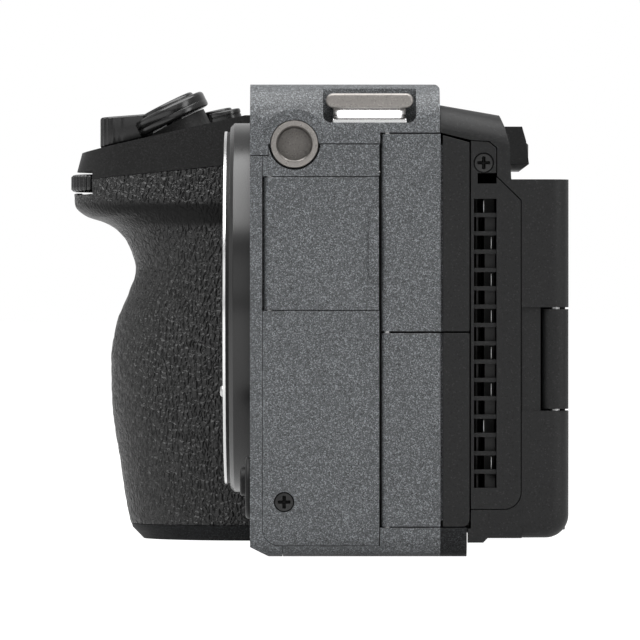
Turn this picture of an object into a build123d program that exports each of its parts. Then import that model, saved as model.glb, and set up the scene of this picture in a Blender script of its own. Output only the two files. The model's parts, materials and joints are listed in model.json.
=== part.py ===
from build123d import *

import os
from math import atan2, cos, degrees, radians, sin

# Compact full-frame cinema camera with its grip, lens mount, doors, controls and swinging screen.
# Millimetres. X runs from the lens to the rear, Y from the left side to the grip, Z up.
# The origin is at the tripod socket's mouth, under the sensor plane and the lens axis.

# Envelope
flange_depth = 18.0
front_setback = 4.7
body_height = 77.8
left_half = 44.5
right_half = 85.2
lens_drop = 36.8
top_length = 31.2
grip_width = 44.2
shoulder_drop = 2.8
wall = 2.2
plate = 2.0
base_thickness = 1.8
seam = 0.15
door_gap = 0.3
top_round = 7.8
bottom_round = 3.5
chamfer_length = 3.1
chamfer_height = 1.6
panel_corner = 2.8
foot_length = 5.3

# Seams on the left side: depths below the top, heights above the base, and lengths
front_seam_drop = 11.9
side_seam_drop = 10.0
port_seam_drop = 8.2
jack_seam_drop = 15.3
jack_seam_bottom = 40.4
port_split_z = 36.9
port_seam_bottom = 4.8
notch_length = 3.0
panel_length = 21.3
door_length = 14.9

# Hinged doors
door_thickness = 1.8
hinge_radius = 0.9
pin_radius = 0.5
pin_fit = 0.04
pin_hold = 1.6
recess_gap = 0.3
web_thickness = 1.5
trim_width = 4.4
trim_gap = 0.35
ridge_width = 1.6
ridge_rise = 0.4
ridge_margin = 5.3
jack_margin = 6.3

# Strap lug recess in the top cover's side, and its mirror on the grip side
lug_length = 15.3
lug_offset = 12.0
lug_floor_drop = 6.5
lug_depth = 4.4
lug_round = 1.3
bar_height = 2.45
bar_thickness = 1.5
bar_side_gap = 0.45
bar_top_drop = 1.65

# Threaded sockets, 1/4-20
socket_bore = 2.6
socket_ring = 3.95
socket_boss = 5.7
socket_depth = 8.0
socket_floor = 1.0
socket_mouth = 2.9
socket_step = 0.4
socket_fit = 0.05
side_socket_offset = 7.3
side_socket_drop = 10.0
top_socket_x = (-4.0, 10.0)
top_socket_margin = 12.0
tripod_ring = 5.2

# Accessory shoe
shoe_slot_width = 18.6
shoe_slot_height = 2.0
shoe_mouth_width = 12.5
shoe_side = 1.4
shoe_lip = 1.0
shoe_base = 1.0
shoe_length = 19.0
shoe_top_drop = 0.3

# Lens mount
ring_radius = 31.4
spigot_radius = 30.2
spigot_fit = 0.05
ring_front_drop = 1.0
ring_edge = 0.7
flange_radius = 30.0
flange_thickness = 1.8
rim_thickness = 0.5
rim_groove = 0.7
throat_radius = 23.05
groove_radius = 25.6
groove_depth = 2.0
ring_rear = 4.0
bayonet_radius = 24.9
bayonet_angle = 44.0
bayonet_count = 3
lock_pin_radius = 0.95
lock_pin_side = 22.0
lock_pin_drop = 14.0
lock_pin_rise = 0.5
mount_screw_circle = 27.6
mount_screw_count = 6
mount_screw_start = 15.0
release_side = 7.5
release_z = 12.25
release_radius = 2.35
release_rise = 1.7
release_length = 2.6
release_travel = 1.2
pod_radius = 5.15
pod_z = 11.25
pod_rise = 0.8
control_gap = 0.2

# Sensor unit
sensor_width = 42.0
sensor_height = 31.0
sensor_thickness = 2.4
glass_thickness = 2.2
window_width = 37.0
window_height = 25.2
frame_border = 8.0
frame_lip = 0.8
baffle_thickness = 1.5
baffle_depth = 2.0
post_radius = 2.2
post_draw_y = 0.72
post_draw_z = 0.85

# Grille and cooling
slot_drop = 19.0
slot_low_z = 10.64
slot_bar = 0.7
slot_count = 16
slot_length = 3.7
slot_border = 0.5
bar_recess = 0.5
band_height = 4.7
fin_thickness = 0.35
fin_pitch = 1.4
fin_count = 3
fan_size = 42.0
fan_thickness = 10.0
fan_y = 13.0
fan_drop = 6.0
rotor_radius = 18.0
blade_count = 9

# Rear cover
rear_x = 39.1
rear_bottom = 3.1
rear_foot_drop = 0.75
rear_foot_length = 2.75
rear_shelf_drop = 15.8
cheek_width = 6.5
cheek_round = 3.2
shoulder_round = 5.0
cheek_corner = 3.8
back_wall_x = 31.3
control_face_x = 37.4
base_rear_x = 22.3
thumb_reach = 21.0

# Screen
screen_gap = 0.3
screen_side_gap = 2.5
screen_top_gap = 0.8
screen_bottom = 4.2
screen_thickness = 7.1
screen_glass_thickness = 1.0
screen_border = 3.5
screen_hinge_side = 2.3
screen_knuckle = 2.25
hinge_low_z = 24.0
hinge_high_z = 41.0
hinge_rod = 0.8
arm_thickness = 2.6

# Grip: share of the body's height and foremost X of its nose
grip_stations = (
    (0.00000, -33.2),
    (0.02571, -35.2),
    (0.06427, -36.1),
    (0.17995, -37.5),
    (0.30848, -38.9),
    (0.41131, -39.1),
    (0.49486, -38.1),
    (0.56555, -35.9),
    (0.61697, -34.7),
    (0.66195, -35.6),
    (0.69923, -37.4),
    (0.72494, -40.2),
    (0.74036, -43.4),
    (0.76350, -45.4),
    (0.79692, -45.7),
    (0.84062, -45.1),
    (0.88432, -44.2),
    (1.00257, -43.0),
)
nose_offset = 17.0
flank_gap = 0.8
leather_thickness = 1.0
grip_wall = 2.0
leather_bottom = 2.7
shoulder_front_x = -15.0
shoulder_slope = 0.2172
leather_seam_drop = 11.7
leather_seam_x = -19.3
leather_seam_slope = 0.0982

# Dials
dial_radius = 8.0
dial_thickness = 3.1
dial_drop = 16.1
dial_slot_gap = 0.45
dial_front_x = -46.2
dial_axle = 1.2
dial_fit = 0.05
dial_rib_count = 36
dial_rib_depth = 0.35
dial_slot_depth = 4.0
rear_dial_radius = 7.6
rear_dial_rear_x = 35.5
rear_dial_drop = 10.2
rear_dial_side = 23.2

# Zoom lever and record button, on one tilted axis
zoom_tilt = 26.6
zoom_x = -27.76
zoom_drop = 3.58
zoom_radius = 6.85
zoom_thickness = 3.0
zoom_floor = 0.9
record_radius = 5.2
record_rise = 0.7
record_travel = 0.7
record_stem = 1.5
tab_width = 4.6
tab_profile = (
    (-13.44, -4.5),
    (-13.24, 0.68),
    (-7.84, 1.08),
    (-3.74, 1.38),
    (-3.24, -1.32),
    (-7.74, -3.1),
)
tab_rib = 0.3
tab_rib_pitch = 0.9
tab_rib_count = 3

# Battery and cards
battery_length = 38.7
battery_width = 22.7
battery_height = 51.7
battery_x = -23.0
battery_offset = 9.5
battery_z = 4.2
box_wall = 1.0
box_gap = 0.2
card_thickness = 2.8
card_width = 20.0
card_length = 28.0
card_pitch = 5.6
card_door_x = 13.0
card_door_length = 14.8
card_door_low = 14.0
card_door_high = 52.0
slot_fit = 0.15
reader_wall = 1.5

# Rear controls
wheel_side = 23.2
wheel_z = 27.0
wheel_radius = 11.0
wheel_hole = 5.6
wheel_thickness = 1.9
wheel_sink = 1.0
select_radius = 5.2
stick_side = 35.2
stick_drop = 15.0
stick_radius = 3.0
stem_radius = 1.0
stick_sink = 1.3
stick_gap = 0.8
gimbal_radius = 2.2
gimbal_length = 1.0
menu_side = 11.2
menu_drop = 9.0
menu_radius = 3.0
button_travel = 0.35

# Main board and its parts
board_x = 6.0
board_thickness = 1.6
board_margin = 5.2
board_top_margin = 2.9
board_side_gap = 6.5
chip_height = 1.4
chip_size = 20.0
memory_size = 11.0
plug_height = 2.5
plug_length = 24.0
plug_width = 4.0
jack_clearance = 1.9
board_chip_y = 12.0
board_memory_y = -16.0

# Derived stations
front_x = front_setback - flange_depth
left_y = -left_half
grip_start = right_half - grip_width
lens_height = body_height - lens_drop
shoulder_height = body_height - shoulder_drop
front_seam_z = body_height - front_seam_drop
side_seam_z = body_height - side_seam_drop
port_seam_z = body_height - port_seam_drop
jack_seam_top = body_height - jack_seam_drop
ridge_low = jack_seam_bottom + ridge_margin
ridge_high = jack_seam_top - ridge_margin
lug_floor_z = body_height - lug_floor_drop
side_socket_z = body_height - side_socket_drop
release_y = left_y + release_side
lock_pin_y = -lock_pin_side
lock_pin_z = lens_height - lock_pin_drop
slot_top_z = body_height - slot_drop
slot_pitch = (slot_top_z - slot_low_z) / slot_count
fan_z = lens_height - fan_drop
rear_shelf_z = body_height - rear_shelf_drop
thumb_start_y = grip_start - thumb_reach
screen_hinge_y = left_y + screen_hinge_side
nose_y = grip_start + nose_offset
leather_seam_z = body_height - leather_seam_drop
dial_z = body_height - dial_drop
rear_dial_z = body_height - rear_dial_drop
rear_dial_y = right_half - rear_dial_side
zoom_z = body_height - zoom_drop
battery_y = grip_start + battery_offset
wheel_y = right_half - wheel_side
stick_y = right_half - stick_side
stick_z = rear_shelf_z - stick_drop
menu_y = right_half - menu_side
menu_z = rear_shelf_z - menu_drop
card_middle_z = (card_door_low + card_door_high) / 2
frame_half_y = sensor_width / 2 + frame_border
frame_half_z = sensor_height / 2 + frame_border
inner_left = left_y + wall
inner_right = right_half - wall
top_rear_x = front_x + top_length
strip_x = front_x + plate
panel_x = front_x + panel_length
door_x = panel_x + door_length
half_seam = seam / 2
half_gap = door_gap / 2
foot_x = front_x + foot_length
notch_x = front_x + notch_length
lens_y = 0.0
jack_hinge_x = strip_x + door_gap + hinge_radius
port_hinge_x = panel_x + door_gap + hinge_radius
door_inner_y = left_y + door_thickness
hinge_y = left_y + hinge_radius
web_front_y = door_inner_y + recess_gap
web_back_y = web_front_y + web_thickness
trim_x = door_x - half_gap - trim_width
top_right_y = grip_start - 5.0
top_socket_places = (
    (top_socket_x[0], left_y + top_socket_margin + shoulder_drop + seam),
    (top_socket_x[1], left_y + top_socket_margin + shoulder_drop + seam),
    (top_socket_x[0], top_right_y - top_socket_margin),
)


def block(x_span, y_span, z_span, mode=Mode.ADD):
    """Box between two limits on each axis, joined to the open part."""
    spans = (x_span, y_span, z_span)
    centre = tuple((low + high) / 2 for low, high in spans)
    with Locations(centre):
        Box(*(high - low for low, high in spans), mode=mode)


def rod(axis, radius, across, span, mode=Mode.ADD):
    """Cylinder along X, Y or Z over a span; across holds its other two coordinates."""
    middle = (span[0] + span[1]) / 2
    places = {
        "X": Location((middle, across[0], across[1]), (0, 90, 0)),
        "Y": Location((across[0], middle, across[1]), (90, 0, 0)),
        "Z": Location((across[0], across[1], middle)),
    }
    with Locations(places[axis]):
        Cylinder(radius, span[1] - span[0], mode=mode)


def save(builder, label):
    """Label a finished piece and write it as one STEP file."""
    builder.part.label = label
    export_step(builder.part, f"parts/{label}.step")


os.makedirs("parts", exist_ok=True)

# Outline of the body, with the rounded long edges of its left side
with BuildPart() as envelope:
    with BuildSketch(Plane.XZ.offset(left_half)):
        with BuildLine():
            Polyline(
                (front_x, chamfer_height),
                (front_x + chamfer_length, 0),
                (rear_x, 0),
                (rear_x, body_height),
                (front_x, body_height),
                close=True,
            )
        make_face()
    extrude(amount=-(left_half + right_half))
    left_edges = envelope.edges().filter_by(Axis.X).group_by(Axis.Y)[0].sort_by(Axis.Z)
    fillet(left_edges[-1], radius=top_round)
    fillet(left_edges[0], radius=bottom_round)

# Front casting: face plate with a foot that turns under the body
with BuildPart() as front_casting:
    with BuildSketch(Plane.XZ.offset(left_half)):
        with BuildLine():
            Polyline(
                (front_x, front_seam_z - half_seam),
                (front_x, chamfer_height),
                (front_x + chamfer_length, 0),
                (foot_x, 0),
                (foot_x, base_thickness),
                (strip_x, base_thickness),
                (strip_x, front_seam_z - half_seam),
                close=True,
            )
        make_face()
        inner_corner = vertices().sort_by_distance((strip_x, base_thickness))[0]
        fillet(inner_corner, radius=panel_corner + half_seam)
    extrude(amount=-(left_half + grip_start - seam))
    rod(
        "X",
        spigot_radius + spigot_fit,
        (lens_y, lens_height),
        (front_x - 1, foot_x + 1),
        Mode.SUBTRACT,
    )
    rod(
        "X",
        release_radius + control_gap,
        (release_y, release_z),
        (front_x - 1, foot_x + 1),
        Mode.SUBTRACT,
    )
    add(envelope.part, mode=Mode.INTERSECT)

# Room under the top cover, rounded where the cover is
with BuildPart() as top_room:
    block(
        (strip_x, top_rear_x - plate),
        (inner_left, top_right_y - plate),
        (front_seam_z, body_height - plate),
    )
    room_edges = top_room.edges().filter_by(Axis.X).group_by(Axis.Y)[0].sort_by(Axis.Z)
    fillet(room_edges[-1], radius=top_round - plate)

# Top cover: hollow plate with a skirt, strap lug pocket, shoe pocket and socket bosses
shoe_width = shoe_slot_width + 2 * shoe_side
shoe_top_z = body_height - shoe_top_drop
shoe_floor_z = shoe_top_z - shoe_lip - shoe_slot_height - shoe_base
shoe_front_x = top_rear_x - shoe_length
lug_x0 = front_x + lug_offset
lug_x1 = lug_x0 + lug_length
side_socket_x = front_x + side_socket_offset
with BuildPart() as top_cover:
    block((front_x, top_rear_x), (left_y, top_right_y), (front_seam_z + half_seam, body_height))
    rear_edge = top_cover.edges().filter_by(Axis.Y).group_by(Axis.Z)[-1].sort_by(Axis.X)[-1]
    right_edge = top_cover.edges().filter_by(Axis.X).group_by(Axis.Z)[-1].sort_by(Axis.Y)[-1]
    fillet([rear_edge, right_edge], radius=1.0)
    add(top_room.part, mode=Mode.SUBTRACT)
    block(
        (lug_x0 - plate, top_rear_x - half_seam),
        (inner_left - 0.5, left_y + lug_depth + plate),
        (lug_floor_z - lug_round, body_height - plate + 0.5),
    )
    block(
        (shoe_front_x - plate, top_rear_x - half_seam),
        (-shoe_width / 2 - plate, shoe_width / 2 + plate),
        (shoe_floor_z - plate, body_height - plate + 0.5),
    )
    with Locations(*((x, y, body_height - socket_depth / 2) for x, y in top_socket_places)):
        Cylinder(socket_boss, socket_depth)
    add(envelope.part, mode=Mode.INTERSECT)
    rod("Y", socket_boss, (side_socket_x, side_socket_z), (left_y, left_y + socket_depth))
    for skirt_x, skirt_y, skirt_z in (
        ((front_x, strip_x + half_seam), (left_y, top_right_y), front_seam_z),
        ((strip_x, notch_x + half_seam), (left_y, inner_left), front_seam_z),
        ((notch_x, panel_x + half_seam), (left_y, inner_left), side_seam_z),
    ):
        block(skirt_x, skirt_y, (0, skirt_z + half_seam), Mode.SUBTRACT)
    block(
        (panel_x + half_seam, top_rear_x),
        (left_y, top_right_y),
        (0, port_seam_z + half_seam),
        Mode.SUBTRACT,
    )
    with BuildSketch(Plane.XZ.offset(left_half)):
        with Locations(((lug_x0 + lug_x1) / 2, lug_floor_z + lug_length / 2)):
            RectangleRounded(lug_length, lug_length, lug_round)
    extrude(amount=-lug_depth, mode=Mode.SUBTRACT)
    block(
        (shoe_front_x - half_seam, top_rear_x),
        (-shoe_width / 2 - half_seam, shoe_width / 2 + half_seam),
        (shoe_floor_z, body_height),
        Mode.SUBTRACT,
    )
    with Locations(*((x, y, body_height - socket_depth / 2) for x, y in top_socket_places)):
        Cylinder(socket_ring + socket_fit, socket_depth, mode=Mode.SUBTRACT)
    rod(
        "Y",
        socket_ring + socket_fit,
        (side_socket_x, side_socket_z),
        (left_y, left_y + socket_depth),
        Mode.SUBTRACT,
    )
    rod("X", spigot_radius + spigot_fit, (lens_y, lens_height), (front_x, strip_x + 1), Mode.SUBTRACT)
    rod("Z", pin_radius, (port_hinge_x, hinge_y), (port_seam_z, port_seam_z + pin_hold), Mode.SUBTRACT)

# Side panel: lower plate, upper strip and the recessed web that carries the audio jacks
jack_x = (jack_hinge_x + panel_x) / 2
jack_places = ((jack_x, jack_seam_top - jack_margin), (jack_x, jack_seam_bottom + jack_margin))
jack_back_y = -frame_half_y - jack_clearance
jack_body = 3.6
jack_radius = 3.0
jack_bore = 1.8
screw_head = 1.6
screw_gap = 0.08
screw_shank = 0.8
side_screw = (front_x + 5.6, 9.0)
with BuildPart() as side_panel:
    panel_span = (strip_x + half_seam, panel_x - half_seam)
    block(panel_span, (left_y, inner_left), (base_thickness + half_seam, jack_seam_bottom))
    block(panel_span, (left_y, inner_left), (jack_seam_top, side_seam_z - half_seam))
    lower_corner = side_panel.edges().filter_by(Axis.Y).group_by(Axis.Z)[0].sort_by(Axis.X)[0]
    fillet(lower_corner, radius=panel_corner)
    add(envelope.part, mode=Mode.INTERSECT)
    block(panel_span, (web_front_y, web_back_y), (jack_seam_bottom - 3, jack_seam_top + 3))
    block(
        (strip_x, notch_x + half_seam),
        (left_y, inner_left),
        (front_seam_z - half_seam, side_seam_z),
        Mode.SUBTRACT,
    )
    rod(
        "Y",
        socket_boss + seam,
        (side_socket_x, side_socket_z),
        (inner_left, web_back_y),
        Mode.SUBTRACT,
    )
    rod("Y", socket_ring + door_gap, (side_socket_x, side_socket_z), (left_y, inner_left), Mode.SUBTRACT)
    with Locations(*(Location((x, web_front_y, z), (90, 0, 0)) for x, z in jack_places)):
        Cylinder(jack_radius + 0.1, 4 * web_thickness, mode=Mode.SUBTRACT)
    rod(
        "Z",
        pin_radius,
        (jack_hinge_x, hinge_y),
        (jack_seam_bottom - pin_hold, jack_seam_top + pin_hold),
        Mode.SUBTRACT,
    )
    rod("Y", screw_head + screw_gap, side_screw, (left_y, left_y + 1.3), Mode.SUBTRACT)
    rod("Y", screw_shank + screw_gap, side_screw, (left_y, inner_left), Mode.SUBTRACT)

# Port panel: recessed wall behind the two port doors, with an opening for each connector
port_panel_x = (panel_x + half_seam, door_x - half_seam - 0.1)
usb_size = (9.2, 3.4)
micro_size = (8.0, 3.2)
hdmi_size = (14.4, 5.0)
connector_x = (port_hinge_x + trim_x) / 2 + 1.0
connector_fit = 0.1
connector_depth = 9.0
connectors = (
    ("usb", (connector_x, port_seam_z - 11.6), usb_size),
    ("micro", (connector_x, port_split_z + 8.6), micro_size),
    ("hdmi", (connector_x, port_split_z - 12.9), hdmi_size),
)
with BuildPart() as port_panel:
    block(port_panel_x, (web_front_y, web_back_y), (port_seam_bottom + 0.2, port_seam_z - 1.7))
    with BuildSketch(Plane.XZ.offset(-web_back_y)):
        for name, place, size in connectors:
            with Locations(place):
                RectangleRounded(size[1] + 2 * connector_fit, size[0] + 2 * connector_fit, 1.0)
    extrude(amount=web_thickness, mode=Mode.SUBTRACT)

# Connector shells behind the port panel, each open to the left
with BuildPart() as port_connectors:
    for name, place, size in connectors:
        x, z = place
        tall, wide = size
        with BuildSketch(Plane.XZ.offset(-web_front_y)):
            with Locations(place):
                RectangleRounded(wide, tall, 0.9)
        extrude(amount=-connector_depth)
        with BuildSketch(Plane.XZ.offset(-web_front_y)):
            with Locations(place):
                RectangleRounded(wide - 0.8, tall - 0.8, 0.5)
        extrude(amount=-(connector_depth - 1), mode=Mode.SUBTRACT)
        block(
            (x - wide * 0.12, x + wide * 0.12),
            (web_front_y + 1.0, web_front_y + connector_depth),
            (z - tall * 0.36, z + tall * 0.36),
        )

# Audio jacks: a threaded collar at the web and a body behind it
with BuildPart() as audio_jacks:
    for x, z in jack_places:
        rod("Y", jack_radius, (x, z), (web_front_y, web_back_y + 0.05))
        block(
            (x - jack_body, x + jack_body),
            (web_back_y + 0.05, jack_back_y),
            (z - jack_body, z + jack_body),
        )
        rod("Y", jack_bore, (x, z), (web_front_y, jack_back_y - 1.0), Mode.SUBTRACT)

# Jack door: leaf with a round hinge edge and a finger ridge
panel_edge_x = panel_x - half_gap
with BuildPart() as jack_door:
    leaf_z = (jack_seam_bottom + half_gap, jack_seam_top - half_gap)
    block((jack_hinge_x, panel_edge_x), (left_y, door_inner_y), leaf_z)
    rod("Z", hinge_radius, (jack_hinge_x, hinge_y), leaf_z)
    block(
        (panel_edge_x - ridge_width, panel_edge_x),
        (left_y - ridge_rise, left_y + 0.5),
        (ridge_low, ridge_high),
    )
    ridge_foot = jack_door.edges().filter_by(Axis.X).group_by(Axis.Y)[0].sort_by(Axis.Z)[0]
    chamfer(ridge_foot, length=ridge_rise - 0.05)
    rod("Z", pin_radius + pin_fit, (jack_hinge_x, hinge_y), leaf_z, Mode.SUBTRACT)

# Port doors: painted leaf whose inner layer runs on under a dark trim strip
seam_slope = 0.27
trim_span = (trim_x, door_x - half_gap)
upper_leaf_z = (port_split_z + half_gap, port_seam_z - half_gap)
lower_leaf_z = (port_seam_bottom + half_gap, port_split_z - half_gap)
tongue_y = (left_y + door_thickness / 2, door_inner_y)
with BuildPart() as upper_port_door:
    block((port_hinge_x, trim_x - trim_gap), (left_y, door_inner_y), upper_leaf_z)
    block(
        (trim_x - 1, trim_span[1] - 0.4),
        tongue_y,
        (upper_leaf_z[0], upper_leaf_z[1] - 1.8),
    )
    rod("Z", hinge_radius, (port_hinge_x, hinge_y), upper_leaf_z)
    rod("Z", pin_radius + pin_fit, (port_hinge_x, hinge_y), upper_leaf_z, Mode.SUBTRACT)

with BuildPart() as upper_door_trim:
    with BuildSketch(Plane.XZ.offset(left_half)):
        with BuildLine():
            Polyline(
                (trim_span[0], upper_leaf_z[0]),
                (trim_span[1], upper_leaf_z[0]),
                (trim_span[1], upper_leaf_z[1] - 0.2 - trim_width * seam_slope),
                (trim_span[0], upper_leaf_z[1] - 0.2),
                close=True,
            )
        make_face()
    extrude(amount=-door_thickness / 2)

with BuildPart() as lower_port_door:
    block((port_hinge_x, trim_x - trim_gap), (left_y, door_inner_y), lower_leaf_z)
    block((trim_x - 1, trim_span[1] - 0.4), tongue_y, (lower_leaf_z[0] + 1.0, lower_leaf_z[1]))
    rod("Z", hinge_radius, (port_hinge_x, hinge_y), lower_leaf_z)
    rod("Z", pin_radius + pin_fit, (port_hinge_x, hinge_y), lower_leaf_z, Mode.SUBTRACT)

with BuildPart() as lower_door_trim:
    block(trim_span, (left_y, left_y + door_thickness / 2), lower_leaf_z)
    trim_corner = lower_door_trim.edges().filter_by(Axis.Y).group_by(Axis.Z)[0].sort_by(Axis.X)[-1]
    fillet(trim_corner, radius=1.2)

# Grille frame: louvred intake with a raised rear strip
grille_x = door_x + half_seam
grille_bottom = rear_bottom + band_height + half_seam
grille_top = port_seam_z - 1.5
slot_x = (grille_x + slot_border, grille_x + slot_border + slot_length)
chamfer_drop = 3.9
cap_x = slot_x[1] - 0.05
grille_screw = (grille_x + 2.1, port_seam_z - 4.9)
with BuildPart() as grille_frame:
    with BuildSketch(Plane.XZ.offset(left_half)):
        with BuildLine():
            Polyline(
                (grille_x, grille_bottom),
                (back_wall_x - seam, grille_bottom),
                (back_wall_x - seam, slot_top_z - 0.3),
                (cap_x, slot_top_z - 0.3 + chamfer_drop),
                (cap_x, grille_top - 1.0),
                (cap_x - 1.2, grille_top),
                (grille_x, grille_top + 0.2),
                close=True,
            )
        make_face()
        fillet(vertices().sort_by(Axis.Y)[:2].sort_by(Axis.X)[-1], radius=panel_corner)
    extrude(amount=-wall)
    block(
        slot_x,
        (left_y, left_y + bar_recess),
        (slot_top_z - slot_count * slot_pitch + slot_bar, slot_top_z),
        Mode.SUBTRACT,
    )
    with BuildSketch(Plane.XZ.offset(left_half)):
        for index in range(slot_count):
            with Locations(
                (sum(slot_x) / 2, slot_top_z - index * slot_pitch - (slot_pitch - slot_bar) / 2)
            ):
                Rectangle(slot_length, slot_pitch - slot_bar)
        with Locations((sum(slot_x) / 2 + 0.3, slot_top_z + slot_pitch + slot_bar / 2)):
            Rectangle(slot_length - 0.6, (slot_pitch - slot_bar) * 0.75)
    extrude(amount=-wall, mode=Mode.SUBTRACT)
    rod("Y", screw_head + screw_gap, grille_screw, (left_y, left_y + 1.3), Mode.SUBTRACT)
    rod("Y", screw_shank + screw_gap, grille_screw, (left_y, inner_left), Mode.SUBTRACT)

# Rear cheek: the solid left end of the rear cover, split by the screen hinge
cheek_y = left_y + cheek_width
with BuildPart() as cheek:
    with BuildSketch(Plane.XZ.offset(left_half)):
        with BuildLine():
            Polyline(
                (back_wall_x, rear_bottom),
                (rear_x, rear_bottom),
                (rear_x, rear_shelf_z),
                (back_wall_x, rear_shelf_z),
                close=True,
            )
        make_face()
        fillet(vertices().sort_by(Axis.Y)[:2].sort_by(Axis.X)[-1], radius=cheek_corner)
    extrude(amount=-cheek_width)
    side_edges = cheek.faces().sort_by(Axis.Y)[0].edges()
    fillet(side_edges.sort_by(Axis.X)[-2:], radius=cheek_round)

# Rear cover: back wall, sloping top, cheeks, control block and thumb rest
slope_top_z = body_height - 3.5
slope_end = (top_rear_x + 9.8, body_height - 5.2)
slope_brow = (top_rear_x + 10.6, body_height - 7.1)
slope_waist = (top_rear_x + 11.4, body_height - 9.9)
shelf_x = top_rear_x + 11.7
skin = 2.0
back_inner_x = back_wall_x - 2.4
cover_front_x = top_rear_x + half_seam
control_wall = 2.0
thumb_profile = ((6.1, 11.9), (6.1, 6.6), (11.6, 5.4), (15.3, 5.4), (16.0, 7.9), (16.5, 11.9))
thumb_points = [(top_rear_x + ahead, body_height - drop) for ahead, drop in thumb_profile]
wheel_recess_x = control_face_x - wheel_sink
rear_dial_x = rear_dial_rear_x - rear_dial_radius
rear_slot_z = (rear_dial_z - dial_slot_gap, rear_dial_z + dial_thickness + dial_slot_gap)
screen_hinge_x = rear_x - 0.05 - screen_knuckle
select_bore = record_stem + 0.5
with BuildPart() as rear_cover:
    with BuildSketch(Plane.XZ.offset(left_half)):
        with BuildLine():
            Polyline(
                (cover_front_x, port_seam_z + half_seam),
                (cover_front_x, slope_top_z),
                slope_end,
                slope_brow,
                slope_waist,
                (shelf_x, rear_shelf_z),
                (back_wall_x, rear_shelf_z),
                (back_wall_x, rear_bottom),
                (grille_x + rear_foot_length, rear_bottom),
                (grille_x + rear_foot_length - rear_foot_drop, rear_bottom - rear_foot_drop),
                (base_rear_x + seam, rear_bottom - rear_foot_drop),
                (base_rear_x + seam, port_seam_bottom - seam),
                (grille_x, port_seam_bottom - seam),
                (grille_x, grille_bottom - seam),
                (back_wall_x - 0.01, grille_bottom - seam),
                (back_wall_x - 0.01, slot_top_z - 0.2),
                (cap_x + seam, slot_top_z - 0.2 + chamfer_drop),
                (cap_x + seam, grille_top - 0.9),
                (cap_x - 1.1, grille_top + seam),
                (grille_x, grille_top + 0.2 + seam),
                close=True,
            )
        make_face()
        grille_corner = vertices().sort_by_distance((back_wall_x, grille_bottom - seam))[0]
        fillet(grille_corner, radius=panel_corner + seam)
    extrude(amount=-wall)
    with BuildSketch(Plane.XZ.offset(-inner_left)):
        with BuildLine():
            Polyline(
                (cover_front_x, slope_top_z - skin),
                (cover_front_x, slope_top_z),
                slope_end,
                slope_brow,
                slope_waist,
                (shelf_x, rear_shelf_z),
                (back_wall_x, rear_shelf_z),
                (back_wall_x, rear_bottom),
                (grille_x, rear_bottom),
                (grille_x, rear_bottom + skin),
                (back_inner_x, rear_bottom + skin),
                (back_inner_x, rear_shelf_z - skin),
                (shelf_x - skin, rear_shelf_z),
                (slope_waist[0] - skin, slope_waist[1]),
                (slope_brow[0] - skin, slope_brow[1] - 0.6),
                (slope_end[0] - skin, slope_end[1] - skin),
                close=True,
            )
        make_face()
    extrude(amount=-(right_half - inner_left))
    shoulder_edges = rear_cover.edges().group_by(Axis.Y)[0].filter_by_position(
        Axis.Z, slope_end[1] - 1, slope_top_z + 1
    )
    fillet(shoulder_edges.sort_by(Axis.Z)[-1], radius=shoulder_round)
    add(cheek.part)
    block(
        (back_wall_x, control_face_x),
        (grip_start, right_half),
        (rear_bottom, rear_shelf_z),
    )
    block(
        (back_inner_x, control_face_x - control_wall),
        (grip_start + control_wall, inner_right),
        (rear_bottom + skin, rear_shelf_z - skin),
        Mode.SUBTRACT,
    )
    with BuildSketch(Plane.XZ.offset(-right_half)):
        with BuildLine():
            Polyline(
                (cover_front_x, front_seam_z + half_seam),
                (cover_front_x, slope_top_z),
                slope_end,
                slope_brow,
                slope_waist,
                (shelf_x - 0.1, front_seam_z + half_seam),
                close=True,
            )
        make_face()
    extrude(amount=wall)
    with BuildSketch(Plane.XZ.offset(-thumb_start_y)):
        with BuildLine():
            Polyline(*thumb_points, close=True)
        make_face()
    extrude(amount=-(right_half - thumb_start_y))
    right_edges = rear_cover.edges().filter_by(Axis.Z).group_by(Axis.Y)[-1].sort_by(Axis.X)
    fillet(right_edges[-1], radius=3.0)
    block(
        (screen_hinge_x - screen_knuckle - seam, rear_x),
        (left_y, cheek_y),
        (hinge_low_z, hinge_high_z),
        Mode.SUBTRACT,
    )
    block(
        (back_wall_x, rear_x),
        (left_y, left_y + 0.4),
        (hinge_low_z, hinge_high_z),
        Mode.SUBTRACT,
    )
    rod(
        "Z",
        hinge_rod,
        (screen_hinge_x, screen_hinge_y),
        (hinge_low_z - 3, hinge_high_z + 3),
        Mode.SUBTRACT,
    )
    rod("X", wheel_radius + 0.3, (wheel_y, wheel_z), (wheel_recess_x, control_face_x), Mode.SUBTRACT)
    rod("X", select_bore + 0.1, (wheel_y, wheel_z), (back_wall_x, control_face_x), Mode.SUBTRACT)
    rod(
        "X",
        stick_radius + 1.1,
        (stick_y, stick_z),
        (control_face_x - stick_sink, control_face_x),
        Mode.SUBTRACT,
    )
    rod("X", 2 * stem_radius, (stick_y, stick_z), (back_wall_x, control_face_x), Mode.SUBTRACT)
    rod("X", menu_radius + 0.15, (menu_y, menu_z), (back_wall_x, control_face_x), Mode.SUBTRACT)
    rod(
        "Z",
        rear_dial_radius + 0.4,
        (rear_dial_x, rear_dial_y),
        rear_slot_z,
        Mode.SUBTRACT,
    )
    rod("Z", dial_axle, (rear_dial_x, rear_dial_y), (rear_slot_z[0] - 0.5, rear_slot_z[1] + 0.5))

# Base plate: floor under body and grip, with the battery opening and the tripod socket's seat
box_skin = box_gap + box_wall
battery_span_x = (battery_x - box_skin - 0.4, battery_x + battery_length + box_skin + 0.4)
battery_span_y = (battery_y - box_skin - 0.6, battery_y + battery_width + box_skin + 0.4)
battery_hinge_y = battery_span_y[0] + half_gap + hinge_radius


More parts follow.
